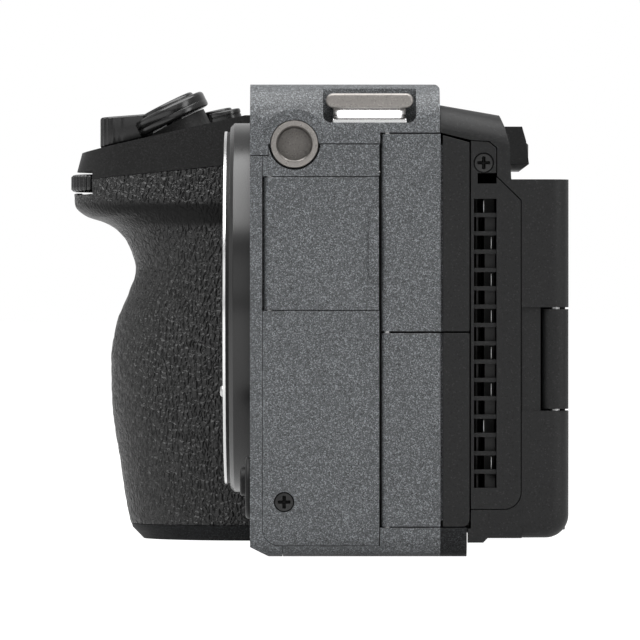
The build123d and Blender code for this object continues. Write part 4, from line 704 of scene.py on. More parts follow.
def joined(*shapes: Shape) -> Shape:
    """Put several shapes together.

    Args:
        shapes: the shapes.

    Returns:
        All points and all faces.
    """
    points, faces, base = [], [], 0
    for cloud, sides in shapes:
        points.append(cloud)
        faces += [[corner + base for corner in side] for side in sides]
        base += len(cloud)
    return np.concatenate(points), faces


@dataclass
class StrapLugs:
    """Strap bars in their pockets: a stadium bar on two posts over a curved bright tray.

    Y is the depth behind the pocket's face until the parts are put on both sides of the body.
    """

    span: Pair = (-0.85, 13.55)
    bar_top: float = 76.15
    bar_height: float = 2.45
    bar_depth: Pair = (0.2, 1.7)
    floor: float = 71.3
    depth: float = 4.4
    wall: float = 0.9
    hollow: float = 2.1
    lip: float = 0.45
    tray_gap: float = 1.1
    post: float = 1.6
    post_front: float = 0.8
    post_gap: float = 0.1
    post_short: float = 0.6
    sides: tuple = ((1, LEFT_FACE, 0.0), (-1, 85.2, 2.8))

    def bar(self) -> Shape:
        """The bar: a stadium outline carried in from the face, its edges rounded.

        Returns:
            Points and faces.
        """
        half = self.bar_height / 2
        middle = self.bar_top - half
        ends = arc((self.span[0] + half, middle), half, 90, 270, 12)
        ends += arc((self.span[1] - half, middle), half, -90, 90, 12)
        return carried(np.array(ends), *self.bar_depth, 0.5, "xzy")

    def tray(self) -> Shape:
        """The tray: a section with a concave quarter, carried along X.

        Returns:
            Points and faces.
        """
        back, floor, lip = self.depth - 0.1, self.floor, self.lip
        section = [(back, floor + 0.02), (back, floor + 4.0), (back - self.wall, floor + 4.0)]
        section += arc((back - self.wall - self.hollow, floor + 3.0), self.hollow, 0, -90, 8)
        section += [(lip + 0.25, floor + 0.75), (lip, floor + 0.5), (lip, floor + 0.02)]
        ends = self.span[0] + self.tray_gap, self.span[1] - self.tray_gap
        return carried(np.array(section), *ends, 0.25, "yzx")

    def posts(self) -> Shape:
        """Two posts from the bar's ends to the pocket's back.

        Returns:
            Points and faces.
        """
        low, high = self.bar_top - self.bar_height + self.post_short, self.bar_top - self.post_short
        outline = rounded((0, low), (self.post, high), 0.3)
        post = carried(outline, self.post_front, self.depth - 0.02, 0.1, "xzy")
        places = self.span[0] + self.post_gap, self.span[1] - self.post - self.post_gap
        return joined(*(moved(post, shift=(x, 0, 0)) for x in places))

    def both(self, *parts: Shape) -> Shape:
        """The parts on both sides: Y is the face plus or minus the depth, and the right ones sit lower."""
        return joined(*(
            moved(part, (1, side, 1), (0, face, -drop)) for side, face, drop in self.sides for part in parts
        ))

    def build(self) -> None:
        """Make the bars with their posts, and the trays."""
        add_piece("strap_bars", self.both(self.bar(), self.posts()), "strap_lugs", "bush_metal")
        add_piece("strap_trays", self.both(self.tray()), "strap_lugs", "silver", stands=False)


@dataclass
class Sockets:
    """Threaded sockets: a ring, a bevelled mouth, a helical thread and a turned floor."""

    bore: float = 2.8
    thread: float = 0.3
    crest: float = 0.7
    pitch: float = 1.27
    depth: float = 8.0
    floor: float = 7.0
    plain: float = 0.3
    edge: float = 0.25
    rows: int = 46
    count: int = 64
    ring: float = 3.95
    foot_ring: float = 5.2
    side_at: Vec = (-6.0, LEFT_FACE, 67.8)
    tops_at: tuple[Vec, ...] = ((-4, -29.55, 77.8), (10, -29.55, 77.8), (-4, 24, 77.8))
    sharp: float = 30.0

    def socket(self, origin: Vec, inward: Vec, ring: float) -> Shape:
        """One socket; the thread's radius swings with height / pitch + angle / one turn.

        Args:
            origin: middle of the mouth.
            inward: direction of the bore.
            ring: the ring's outer radius.

        Returns:
            Points and faces.
        """
        rows = np.linspace(self.plain, self.floor - self.plain, self.rows)
        profile = [(0.0, self.depth), (ring, self.depth), (ring, self.edge)]
        profile += arc((ring - self.edge, self.edge), self.edge, 0, -90, 3)
        profile += [(self.bore + 0.22, 0.0), (self.bore + 0.05, self.edge)]
        start = len(profile)
        profile += [(self.bore, at) for at in rows]
        profile += [(self.bore - 0.05, self.floor), (0.0, self.floor)]
        phase = (rows[:, None] / self.pitch + around(self.count) / (2 * pi)) % 1.0
        swell = np.zeros((len(profile), self.count))
        swell[start:start + self.rows] = self.thread * (self.crest - np.abs(2 * phase - 1))
        return lathed(profile, origin, inward, self.count, swell=swell)

    def build(self) -> None:
        """Make the side, top and tripod sockets."""
        side = self.socket(self.side_at, (0, 1, 0), self.ring)
        tops = joined(*(self.socket(at, (0, 0, -1), self.ring) for at in self.tops_at))
        foot = self.socket((0, 0, 0), (0, 0, 1), self.foot_ring)
        add_piece("side_socket_thread", side, "side_socket", sharp=self.sharp)
        add_piece("top_socket_threads", tops, "top_sockets", sharp=self.sharp)
        add_piece("tripod_socket_thread", foot, "tripod_socket", sharp=self.sharp)


@dataclass(frozen=True)
class ScrewSize:
    """Sizes of one screw."""

    radius: float
    height: float
    shank: float
    length: float


@dataclass
class Screws:
    """Cross-recess screws: a domed head whose top sinks where the cross is, painted dark there as shade."""

    dome: float = 0.14
    edge: float = 0.12
    sink: float = 0.33
    arm: Pair = (0.13, 0.62)
    soft: float = 0.12
    # Painted shade in the recess: how dark it gets and the depth over which it grows.
    shade: float = 0.9
    shade_depth: float = 0.16
    rings: int = 30
    count: int = 96
    case: ScrewSize = ScrewSize(1.6, 1.02, 0.8, 2.4)
    case_at: tuple[Vec, ...] = ((-7.7, -43.35, 9.0), (25.075, -43.35, 64.7))
    flange: ScrewSize = ScrewSize(1.3, 0.62, 0.75, 3.0)
    flange_x: float = -17.25
    circle: float = 27.6
    first_turn: float = 15.0
    sharp: float = 50.0

    def mask(self, across: Array, along: Array) -> Array:
        """One bar of the cross: a soft step of its half width times one of its half length.

        Args:
            across: places across the bar, in head radii.
            along: places along it.

        Returns:
            1 in the bar to 0 beside it.
        """
        thin, long = ((half - np.abs(at)) / self.soft + 0.5 for half, at in zip(self.arm, (across, along)))
        return smooth_step(thin) * smooth_step(long)

    def screw(self, origin: Vec, outward: Vec, size: ScrewSize) -> Shape:
        """One screw.

        The head's height is a parabola of the radius less the recess times a cross-shaped mask.

        Args:
            origin: middle of the head's underside.
            outward: direction of the head's top.
            size: the screw's sizes.

        Returns:
            Points and faces.
        """
        radius, height = size.radius, size.height
        radii = np.linspace(0, radius - self.edge, self.rings)
        profile = [(r, height - self.dome * (r / radius) ** 2) for r in radii]
        profile += arc((radius - self.edge, height - self.dome - self.edge), self.edge, 90, 0, 3)[1:]
        profile += [(radius, 0.0), (size.shank, 0.0), (size.shank, -size.length), (0.0, -size.length)]
        far, angle = radii[:, None] / radius, around(self.count)
        x, y = far * np.cos(angle), far * np.sin(angle)
        lift = np.zeros((len(profile), self.count))
        lift[:self.rings] = -self.sink * radius * np.maximum(self.mask(x, y), self.mask(y, x))
        return lathed(profile, origin, outward, self.count, lift=lift)

    def painted_recess_shade(self, points: Array, origin: Vec) -> Array:
        """Painted shade of each point of a case screw, which grows with how far into the cross it lies.

        Args:
            points: the screw's points.
            origin: middle of the head's underside.

        Returns:
            0 on the dome to full painted shade in the recess.
        """
        away = points - np.array(origin)
        far, rise = np.hypot(away[:, 0], away[:, 2]), -away[:, 1]
        sunk = self.case.height - self.dome * (far / self.case.radius) ** 2 - rise
        on_top = (far < self.case.radius - 0.1) & (rise > 0.1)
        return self.shade * smooth_step(sunk / self.shade_depth) * on_top

    def build(self) -> None:
        """Make the case screws and the flange screws."""
        heads = [self.screw(at, (0, -1, 0), self.case) for at in self.case_at]
        # dark holds the painted shade of the recesses.
        dark = np.concatenate([self.painted_recess_shade(head[0], at) for head, at in zip(heads, self.case_at)])
        add_piece("case_screw_heads", joined(*heads), "case_screws", sharp=self.sharp, shade=dark)
        turn = np.radians(self.first_turn + 60.0 * np.arange(6))
        places = zip(self.circle * np.cos(turn), LENS_Z + self.circle * np.sin(turn))
        lens = [self.screw((self.flange_x, y, z), (-1, 0, 0), self.flange) for y, z in places]
        add_piece("flange_screw_heads", joined(*lens), "mount_screws", sharp=self.sharp)


@dataclass
class Dials:
    """Knurled dials: discs whose rim dips between the ribs."""

    ribs: int = 44
    groove: float = 0.42
    sharpness: float = 0.55
    rim: tuple[int, int] = (2, 11)
    thickness: float = 3.1
    hole: float = 1.6
    front: tuple[Vec, float] = ((-38.2, 58.0, 61.7), 8.0)
    rear: tuple[Vec, float] = ((27.9, 62.0, 67.6), 7.6)

    def disc(self, origin: Vec, radius: float) -> Shape:
        """One dial; its rim's radius falls by the groove times a power of the sine of half the rib angle.

        Args:
            origin: middle of the underside.
            radius: radius over the ribs.

        Returns:
            Points and faces.
        """
        top, hole = self.thickness, self.hole
        profile = [(hole, 0.0), (radius - 0.8, 0.0), (radius - 0.35, 0.1), (radius, 0.45), (radius, 0.9)]
        profile += [(radius, h) for h in np.linspace(1.2, top - 0.9, 4)]
        profile += [(radius, top - 0.45), (radius - 0.35, top - 0.1), (radius - 0.8, top)]
        profile += [(radius - 1.6, top), (radius - 1.8, top - 0.2), (hole, top - 0.2)]
        count = self.ribs * 8
        dip = np.abs(np.sin(around(count) * self.ribs / 2)) ** self.sharpness
        swell = np.zeros((len(profile), count))
        swell[slice(*self.rim)] = -self.groove * (1 - dip)
        return lathed(profile, origin, (0, 0, 1), count, loop=True, swell=swell)

    def build(self) -> None:
        """Make both dials."""
        for name, place in (("front", self.front), ("rear", self.rear)):
            add_piece(f"{name}_dial_knurled", self.disc(*place), f"{name}_dial", sharp=50.0)


@dataclass
class ShutterGroup:
    """Zoom lever, record button and the two keys behind it, on the grip's slope.

    The tab's lower and upper side are straight lines of X: a height at the tab's tip and a slope.
    """

    origin: Vec = (-27.76, 58.0, 74.22)
    tilt: float = 26.6
    bore: float = 1.6
    cup_radius: float = 6.85
    cup_height: float = 2.9
    cup_floor: float = 0.9
    button_radius: float = 5.2
    button_rise: float = 0.7
    tab_half: float = 2.3
    tab_x: tuple[float, float, float] = (-31.5, -38.6, -38.7)
    tab_middle: Pair = (-35.5, 0.0)
    tip_x: float = -41.0
    tab_low: Pair = (69.5, 0.24)
    tab_high: Pair = (75.0, 0.075)
    tab_tall: float = 5.0
    ribs_x: float = -36.6
    rib: float = 0.9
    rib_depth: float = 0.16
    key_radius: float = 2.8
    key_axis: Vec = (-0.2123, 0.0, 0.9772)
    keys: tuple = (("front", (-18.4, 49.0, 74.26), 1.7), ("rear", (-19.9, 64.2, 73.94), 2.6))

    @property
    def axis(self) -> Vec:
        """The lever's axis, leaning forward."""
        return (-float(np.sin(radians(self.tilt))), 0.0, float(np.cos(radians(self.tilt))))

    def cup(self) -> Shape:
        """The lever's ring: a rounded wall round a flat floor with a bore.

        Returns:
            Points and faces.
        """
        outer, top, floor = self.cup_radius, self.cup_height, self.cup_floor
        profile = [(self.bore, 0.05), (outer - 0.7, 0.05)]
        profile += arc((outer - 0.45, 0.5), 0.45, -90, 0, 4)
        profile += [(outer, 1.2), (outer - 0.03, 1.26), (outer, 1.32)]
        profile += arc((outer - 0.65, top - 0.65), 0.65, 0, 90, 6)
        profile += [(outer - 1.15, top), (outer - 1.35, top - 0.2), (outer - 1.35, floor), (self.bore, floor)]
        return lathed(profile, self.origin, self.axis, 96, loop=True)

    def tab(self) -> Shape:
        """The finger tab: a ribbed plan outline between its lower and its upper side.

        Height is the lower side plus a share of the distance to the upper side.

        Returns:
            Points and faces.
        """
        root, end, nose = self.tab_x
        flank = np.linspace(root, end, 24)
        half = self.tab_half
        front = arc((nose, 0.0), half, 90, 270, 40)
        outline = np.array([*((x, half) for x in flank), *front, *((x, -half) for x in flank[::-1])])
        run = np.concatenate([[0], np.cumsum(np.linalg.norm(np.diff(outline, axis=0), axis=1))])
        ribbed = smooth_step((self.ribs_x - outline[:, 0]) / 0.8)
        wave = self.rib_depth * np.abs(np.sin(run * pi / self.rib)) * ribbed
        outline = outline - unit(outline - self.tab_middle) * wave[:, None]
        points, faces = carried(outline, 0.0, self.tab_tall, 0.42)
        x, y, rise = points.T
        low, high = (start + (x - self.tip_x) * slope for start, slope in (self.tab_low, self.tab_high))
        return np.stack([x, self.origin[1] + y, low + rise / self.tab_tall * (high - low)], -1), faces

    def button(self) -> Shape:
        """The record button: a shallow dish with a rounded rim on its stem.

        Returns:
            Points and faces.
        """
        r, top, stem = self.button_radius, self.cup_height + self.button_rise, self.bore - 0.15
        profile = [(0.0, top - 0.35), (r * 0.35, top - 0.32), (r * 0.7, top - 0.16), (r - 0.75, top - 0.02)]
        profile += arc((r - 0.6, top - 0.6), 0.6, 90, 0, 5)
        profile += [(r, 1.85), (stem, 1.85), (stem, -2.15), (0.0, -2.15)]
        return lathed(profile, self.origin, self.axis, 72)

    def key(self, at: Vec, rise: float) -> Shape:
        """One key: a rounded cap with a fine groove round its waist.

        Args:
            at: middle of the key at the slope.
            rise: the cap's height over it.

        Returns:
            Points and faces.
        """
        r = self.key_radius
        profile = [(0.0, rise - 0.08), (r - 0.9, rise - 0.03)]
        profile += arc((r - 0.35, rise - 0.35), 0.35, 90, 0, 4)
        profile += [(r, rise - 0.75), (r - 0.12, rise - 0.85), (r - 0.12, rise - 0.95), (r, rise - 1.05)]
        profile += [(r, -1.8), (0.0, -1.8)]
        return lathed(profile, at, self.key_axis, 56)

    def build(self) -> None:
        """Make the lever, the button and the keys."""
        add_piece("zoom_lever_ribbed", joined(self.cup(), self.tab()), "zoom_lever", sharp=45.0)
        add_piece("record_button_dished", self.button(), "record_button", "dial_metal")
        for name, at, rise in self.keys:
            add_piece(f"shoulder_key_{name}", self.key(at, rise), f"top_key_{name}", "dial_metal")


@dataclass
class MountGrooveShade:
    """A dark ring of painted shade in the groove between the bayonet flange's rim and the mount ring."""

    inner: float = 29.25
    outer: float = 29.9
    front_x: float = -17.45
    rear_x: float = -17.02

    def build(self) -> None:
        """Make the ring by turning its small rectangle about the lens axis."""
        deep = self.rear_x - self.front_x
        profile = [(self.inner, 0.0), (self.outer, 0.0), (self.outer, deep), (self.inner, deep)]
        ring = lathed(profile, (self.rear_x, 0.0, LENS_Z), (-1, 0, 0), 180, loop=True)
        # The dark ring is painted shade in the groove.
        add_piece("flange_groove_shade", ring, "mount_flange", "dark_paint", stands=False)


@dataclass
class CoolingDuct:
    """A dark wall of painted shade deep in the duct, and the bright lips of the fins that show in every
    second slot of the grille.
    """

    wall: tuple[Pair, Pair] = ((23.2, 7.0), (28.8, 67.0))
    wall_y: Pair = (-15.9, -15.5)
    slots: int = 16
    slot_top: float = 58.8
    pitch: float = 3.01
    lip_rise: float = 0.75
    height: float = 2.05
    lip_y: Pair = (-42.2, -40.6)
    lip_width: float = 0.14
    near_x: float = 26.3
    far_x: float = 25.05
    far_slots: tuple[int, int] = (0, 12)

    def lip(self, number: int) -> Shape:
        """The lip in one slot: a thin upright strip from the slot's lower end.

        Args:
            number: the slot, counted down from 0.

        Returns:
            Points and faces.
        """
        x = self.far_x if number in self.far_slots else self.near_x
        low = self.slot_top - (number + 1) * self.pitch + self.lip_rise
        outline = rounded((x, self.lip_y[0]), (x + self.lip_width, self.lip_y[1]), 0.04, 3)
        return carried(outline, low, low + self.height, 0.05)

    def build(self) -> None:
        """Make the wall behind the fins, a thin dark upright plate standing in for shade, and the lips."""
        wall = carried(rounded(*self.wall, 0.5, 3), *self.wall_y, 0.05, "xzy")
        # A dark plate standing in for the shade deep in the duct.
        add_piece("duct_shade_wall", wall, "heat_sink", "dark_paint", stands=False)
        lips = joined(*(self.lip(number) for number in range(0, self.slots, 2)))
        add_piece("fin_lips", lips, "heat_sink", "steel", stands=False)


@dataclass
class ContactRow:
    """Lens contacts: a curved black block with a row of gilt pins."""

    count: int = 10
    pin: float = 0.55
    sunk: float = 0.35
    margin: float = 1.2

    def build(self) -> None:
        """Make the block and its pins."""
        low, high = (np.array(corner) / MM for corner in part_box("mount_contacts"))
        block = carried(rounded(low[1:], high[1:], 0.8), low[0] + self.sunk, high[0], 0.2, "yzx")
        add_piece("contact_block", block, "mount_contacts", "black_plastic")
        profile = [(0.0, 0.36)] + arc((0.0, 0.0), self.pin, 80, 10, 5)[1:] + [(self.pin, -0.2), (0.0, -0.2)]
        profile = [(r, h * 0.65) for r, h in profile]
        x, z = low[0] + self.sunk + 0.02, (low[2] + high[2]) / 2
        places = np.linspace(low[1] + self.margin, high[1] - self.margin, self.count)
        pins = joined(*(lathed(profile, (x, y, z), (-1, 0, 0), 20) for y in places))
        add_piece("contact_pins", pins, "mount_contacts", "gold_contact", stands=False)


@dataclass
class GripLeather:
    """The leather wrap of the hand grip, pebbled in its mesh.

    Stations are heights with the wrap's foremost X. The seam is a height, the X where the wrap's
    upper edge has it, and the edge's slope. The painted shade strip and bare are the heights of the
    smooth strip under the finger rest, each with its soft width: the first for painted shade where
    the rest overhangs it, the second for the relief.
    """

    stations: tuple = (
        (0.0, -33.2), (2.0, -35.2), (5.0, -36.1), (14.0, -37.5), (24.0, -38.9), (32.0, -39.1),
        (38.5, -38.1), (44.0, -35.9), (48.0, -34.7), (51.5, -35.6), (54.4, -37.4), (56.4, -40.2),
        (57.6, -43.4), (59.4, -45.4), (62.0, -45.7), (65.4, -45.1), (68.8, -44.2), (78.0, -43.0),
    )
    tail_x: float = -11.5
    left_y: float = 41.8
    right_y: float = 85.19
    nose_y: float = 58.0
    bottom: float = 2.7
    seam: Vec = (66.025, -19.3, 0.0982)
    mean_x: float = -26.0
    thickness: float = 1.0
    slot_z: Pair = (61.25, 65.25)
    slot_x: float = -42.2
    slot_radius: float = 8.4
    slot_centre_x: float = -38.2
    columns: int = 252
    rows: int = 172
    cell: Pair = (1.5, 2.4)
    relief: float = 0.09
    seed: int = 11
    grid: tuple[int, int] = (160, 120)
    tall: Vec = (0.75, 58.5, 2.5)
    edge: float = 0.6
    # Where and how dark the painted shade under the finger rest's overhang is.
    painted_shade_band: tuple[float, ...] = (54.8, 1.5, 60.3, 1.3)
    painted_shade_darkness: float = 0.8
    bare: tuple[float, ...] = (54.6, 1.6, 60.0, 1.4)
    flank_push: float = 0.32
    hollow_push: float = 0.3

    def nose(self, height: Array) -> Array:
        """Foremost X at each height: a cubic through the stations whose slopes never overshoot.

        Args:
            height: heights.

        Returns:
            X at them.
        """
        z, x = np.array(self.stations).T
        step = np.diff(z)
        slope = np.diff(x) / step
        both = slope[:-1] * slope[1:]
        inner = np.where(both > 0, 2 * both / (slope[:-1] + slope[1:] + TINY), 0)
        ends = np.concatenate(([slope[0]], inner, [slope[-1]]))
        at = np.clip(np.searchsorted(z, height, side="right") - 1, 0, len(step) - 1)
        t = (height - z[at]) / step[at]
        return hermite(t, x[at], x[at + 1], ends[at] * step[at], ends[at + 1] * step[at])

    def section(self, front: Array, inset: float) -> Array:
        """Points round the horizontal section at each front X, evenly spaced along it.

        The line runs through seven points by a cubic spline with level ends. A point's X is the
        front plus a share of the way to the tail plus a step.

        Args:
            front: foremost X of each row.
            inset: distance inside the surface.

        Returns:
            Array rows by columns by 2.
        """
        left, right, nose = self.left_y + inset, self.right_y - inset, self.nose_y
        share, step, y = np.array([
            (1.0, 0.0, left),
            (0.45, 0.0, left + 2.6),
            (0.0, 3.0 + 0.7 * inset, nose - 7.5 + 0.6 * inset),
            (0.0, inset, nose),
            (0.0, 4.2 + 0.9 * inset, nose + 12.0 - 0.4 * inset),
            (0.5, 0.0, right - 3.6),
            (1.0, 0.0, right),
        ]).T
        start = front[:, None]
        x = start + share * (self.tail_x + 0.2 - start) + step
        knots = np.stack([x, np.broadcast_to(y, x.shape)], -1)
        gaps = np.linalg.norm(np.diff(knots, axis=1), axis=2)
        slopes = self._slopes(knots, gaps)
        spans = gaps.shape[1]
        fine = np.linspace(0, 1, 40 * spans + 1)
        piece = np.minimum((fine * spans).astype(int), spans - 1)
        t = (fine * spans - piece)[None, :, None]
        h = gaps[:, piece][:, :, None]
        curve = hermite(
            t, knots[:, piece], knots[:, piece + 1], h * slopes[:, piece], h * slopes[:, piece + 1]
        )
        run = run_along(np.diff(curve, axis=1))
        even = np.linspace(0, 1, self.columns)
        return np.array([
            np.stack([np.interp(even, length / length[-1], line[:, axis]) for axis in (0, 1)], -1)
            for length, line in zip(run, curve)
        ])

    @staticmethod
    def _slopes(knots: Array, gaps: Array) -> Array:
        """Slopes at the knots that make the spline's bend continuous, with level ends along X.

        Args:
            knots: rows by knots by 2 points.
            gaps: distances between them.

        Returns:
            Slopes of the same shape as the knots.
        """
        rows, count, _ = knots.shape
        matrix = np.zeros((rows, count, count))
        right = np.zeros((rows, count, 2))
        matrix[:, 0, 0] = matrix[:, -1, -1] = 1
        right[:, 0] = (-1, 0)
        right[:, -1] = (1, 0)
        for k in range(1, count - 1):
            before, after = gaps[:, k - 1], gaps[:, k]
            matrix[:, k, k - 1: k + 2] = np.stack([after, 2 * (before + after), before], -1)
            ahead = (knots[:, k + 1] - knots[:, k]) * (before / after)[:, None]
            behind = (knots[:, k] - knots[:, k - 1]) * (after / before)[:, None]
            right[:, k] = 3 * (ahead + behind)
        return np.linalg.solve(matrix, right)

    def pebbles(self, along: Array, up: Array) -> Array:
        """Height of the pebbles, 0 in the creases and 1 on top.

        Each cell of a jittered grid has one centre; the height grows with the difference between
        the distances to the second nearest and the nearest centre. Over the second number of tall
        the cells are taller by the first.

        Args:
            along: millimetres round the section.
            up: millimetres of height.

        Returns:
            Heights of the same shape.
        """
        rng = np.random.default_rng(self.seed)
        jitter = rng.random((*self.grid, 2))
        tops = rng.random(self.grid)
        more, start, soft = self.tall
        stretch = 1 + more * smooth_step((up - start) / soft)
        u = along / self.cell[0] + 0.25 * np.sin(up * 0.9) + 0.2 * np.sin(up * 0.37 + along * 0.21)
        v = up / (self.cell[1] * stretch) + 0.25 * np.sin(along * 0.8)
        iu, iv = np.floor(u).astype(int), np.floor(v).astype(int)
        near = np.full(u.shape, 9.0)
        second = near
        rise = np.zeros(u.shape)
        for du, dv in np.ndindex(3, 3):
            x, y = iu + du - 1, iv + dv - 1
            cell = x % self.grid[0], y % self.grid[1]
            d = np.hypot(x + jitter[(*cell, 0)] - u, y + jitter[(*cell, 1)] - v)
            closer = d < near
            second = np.where(closer, near, np.minimum(second, d))
            rise = np.where(closer, tops[cell], rise)
            near = np.where(closer, d, near)
        return smooth_step((second - near) / self.edge) * (0.6 + 0.4 * rise)

    def ceiling(self, x: Array | float) -> Array | float:
        """Height of the wrap's upper edge at X, a straight line."""
        return self.seam[0] + (x - self.seam[1]) * self.seam[2]

    def swellings(self, skin: Array) -> Array:
        """Distances that keep the wrap clear of the shell, on the far flank and in the finger hollow.

        Both are bell curves of X or Z times soft steps.

        Args:
            skin: rows by columns by 3 points.

        Returns:
            Distances, rows by columns.
        """
        x, y, z = np.moveaxis(skin, -1, 0)
        flank = smooth_step((85.15 - y) / 0.5) * (y > 75) * (1 + 0.9 * bell(z, 54.5, 5.0))
        hollow = bell(z, 57.8, 2.0) * smooth_step((-18.0 - x) / 6.0)
        return self.flank_push * bell(x, -20.3, 4.0) * flank + self.hollow_push * hollow

    def build(self) -> None:
        """Make the wrap: an outer skin with pebbles, a plain inner skin and the rims between them."""
        level = np.linspace(0, 1, self.rows)
        rough_top = self.ceiling(self.mean_x) + 3.0
        rough = self.section(self.nose(self.bottom + level * (rough_top - self.bottom)), 0.0)
        z = self.bottom + level[:, None] * (self.ceiling(rough[..., 0]) - self.bottom)
        front = self.nose(z[:, self.columns // 2])
        skin, lining = (
            np.concatenate([self.section(front, inset), z[..., None]], -1) for inset in (0.0, self.thickness)
        )
        along = np.gradient(skin, axis=1)
        normal = unit(np.cross(along, np.gradient(skin, axis=0)))
        away = skin - (self.tail_x, self.nose_y + 5, 35.0)
        normal *= np.sign((away * normal).sum(-1).mean())
        relief = self.relief * (1 - 0.9 * between(z, *self.bare))
        height = self.pebbles(run_along(along[:, 1:]), z) * relief - self.relief + self.swellings(skin)
        skin = skin + normal * height[..., None]
        middle = (skin[:-1, :-1] + skin[1:, 1:]) / 2
        in_slot = (middle[..., 2] > self.slot_z[0]) & (middle[..., 2] < self.slot_z[1])
        far = np.hypot(middle[..., 0] - self.slot_centre_x, middle[..., 1] - self.nose_y)
        gone = in_slot & ((middle[..., 0] < self.slot_x) | (far < self.slot_radius))
        wrap = thick_sheet(skin, lining, ~gone)
        # Painted shade on the smooth strip under the finger rest, where the rest overhangs it.
        painted_shade_band = self.painted_shade_darkness * between(wrap[0][:, 2], *self.painted_shade_band)
        add_piece("grip_leather_wrap", wrap, "grip_leather", sharp=60.0, shade=painted_shade_band)


def thick_sheet(outer: Array, inner: Array, kept: Array) -> tuple[Array, list]:
    """Close two grids of the same size into one solid sheet.

    Args:
        outer: rows by columns by 3 points of the outer skin.
        inner: the same for the inner skin.
        kept: which quads stay, rows - 1 by columns - 1.

    Returns:
        Points and faces: both skins, and a rim at every open edge of the kept quads.
    """
    rows, columns, _ = outer.shape
    number = np.arange(rows * columns).reshape(rows, columns)
    a, b, c, d = number[:-1, :-1], number[:-1, 1:], number[1:, 1:], number[1:, :-1]
    quads = np.stack([a, b, c, d], -1)[kept]
    under = quads[:, ::-1] + rows * columns
    pad = np.pad(kept, 1)
    rims = []
    for shift, ends in (((-1, 0), (a, b)), ((0, 1), (b, c)), ((1, 0), (c, d)), ((0, -1), (d, a))):
        beside = pad[1 + shift[0]: pad.shape[0] - 1 + shift[0], 1 + shift[1]: pad.shape[1] - 1 + shift[1]]
        edge = kept & ~beside
        first, last = ends[0][edge], ends[1][edge]
        rims.append(np.stack([last, first, first + rows * columns, last + rows * columns], -1))
    faces = np.concatenate([quads, under, *rims])
    used, back = np.unique(faces, return_inverse=True)
    points = np.concatenate([outer.reshape(-1, 3), inner.reshape(-1, 3)])[used]
    return points, back.reshape(faces.shape).tolist()


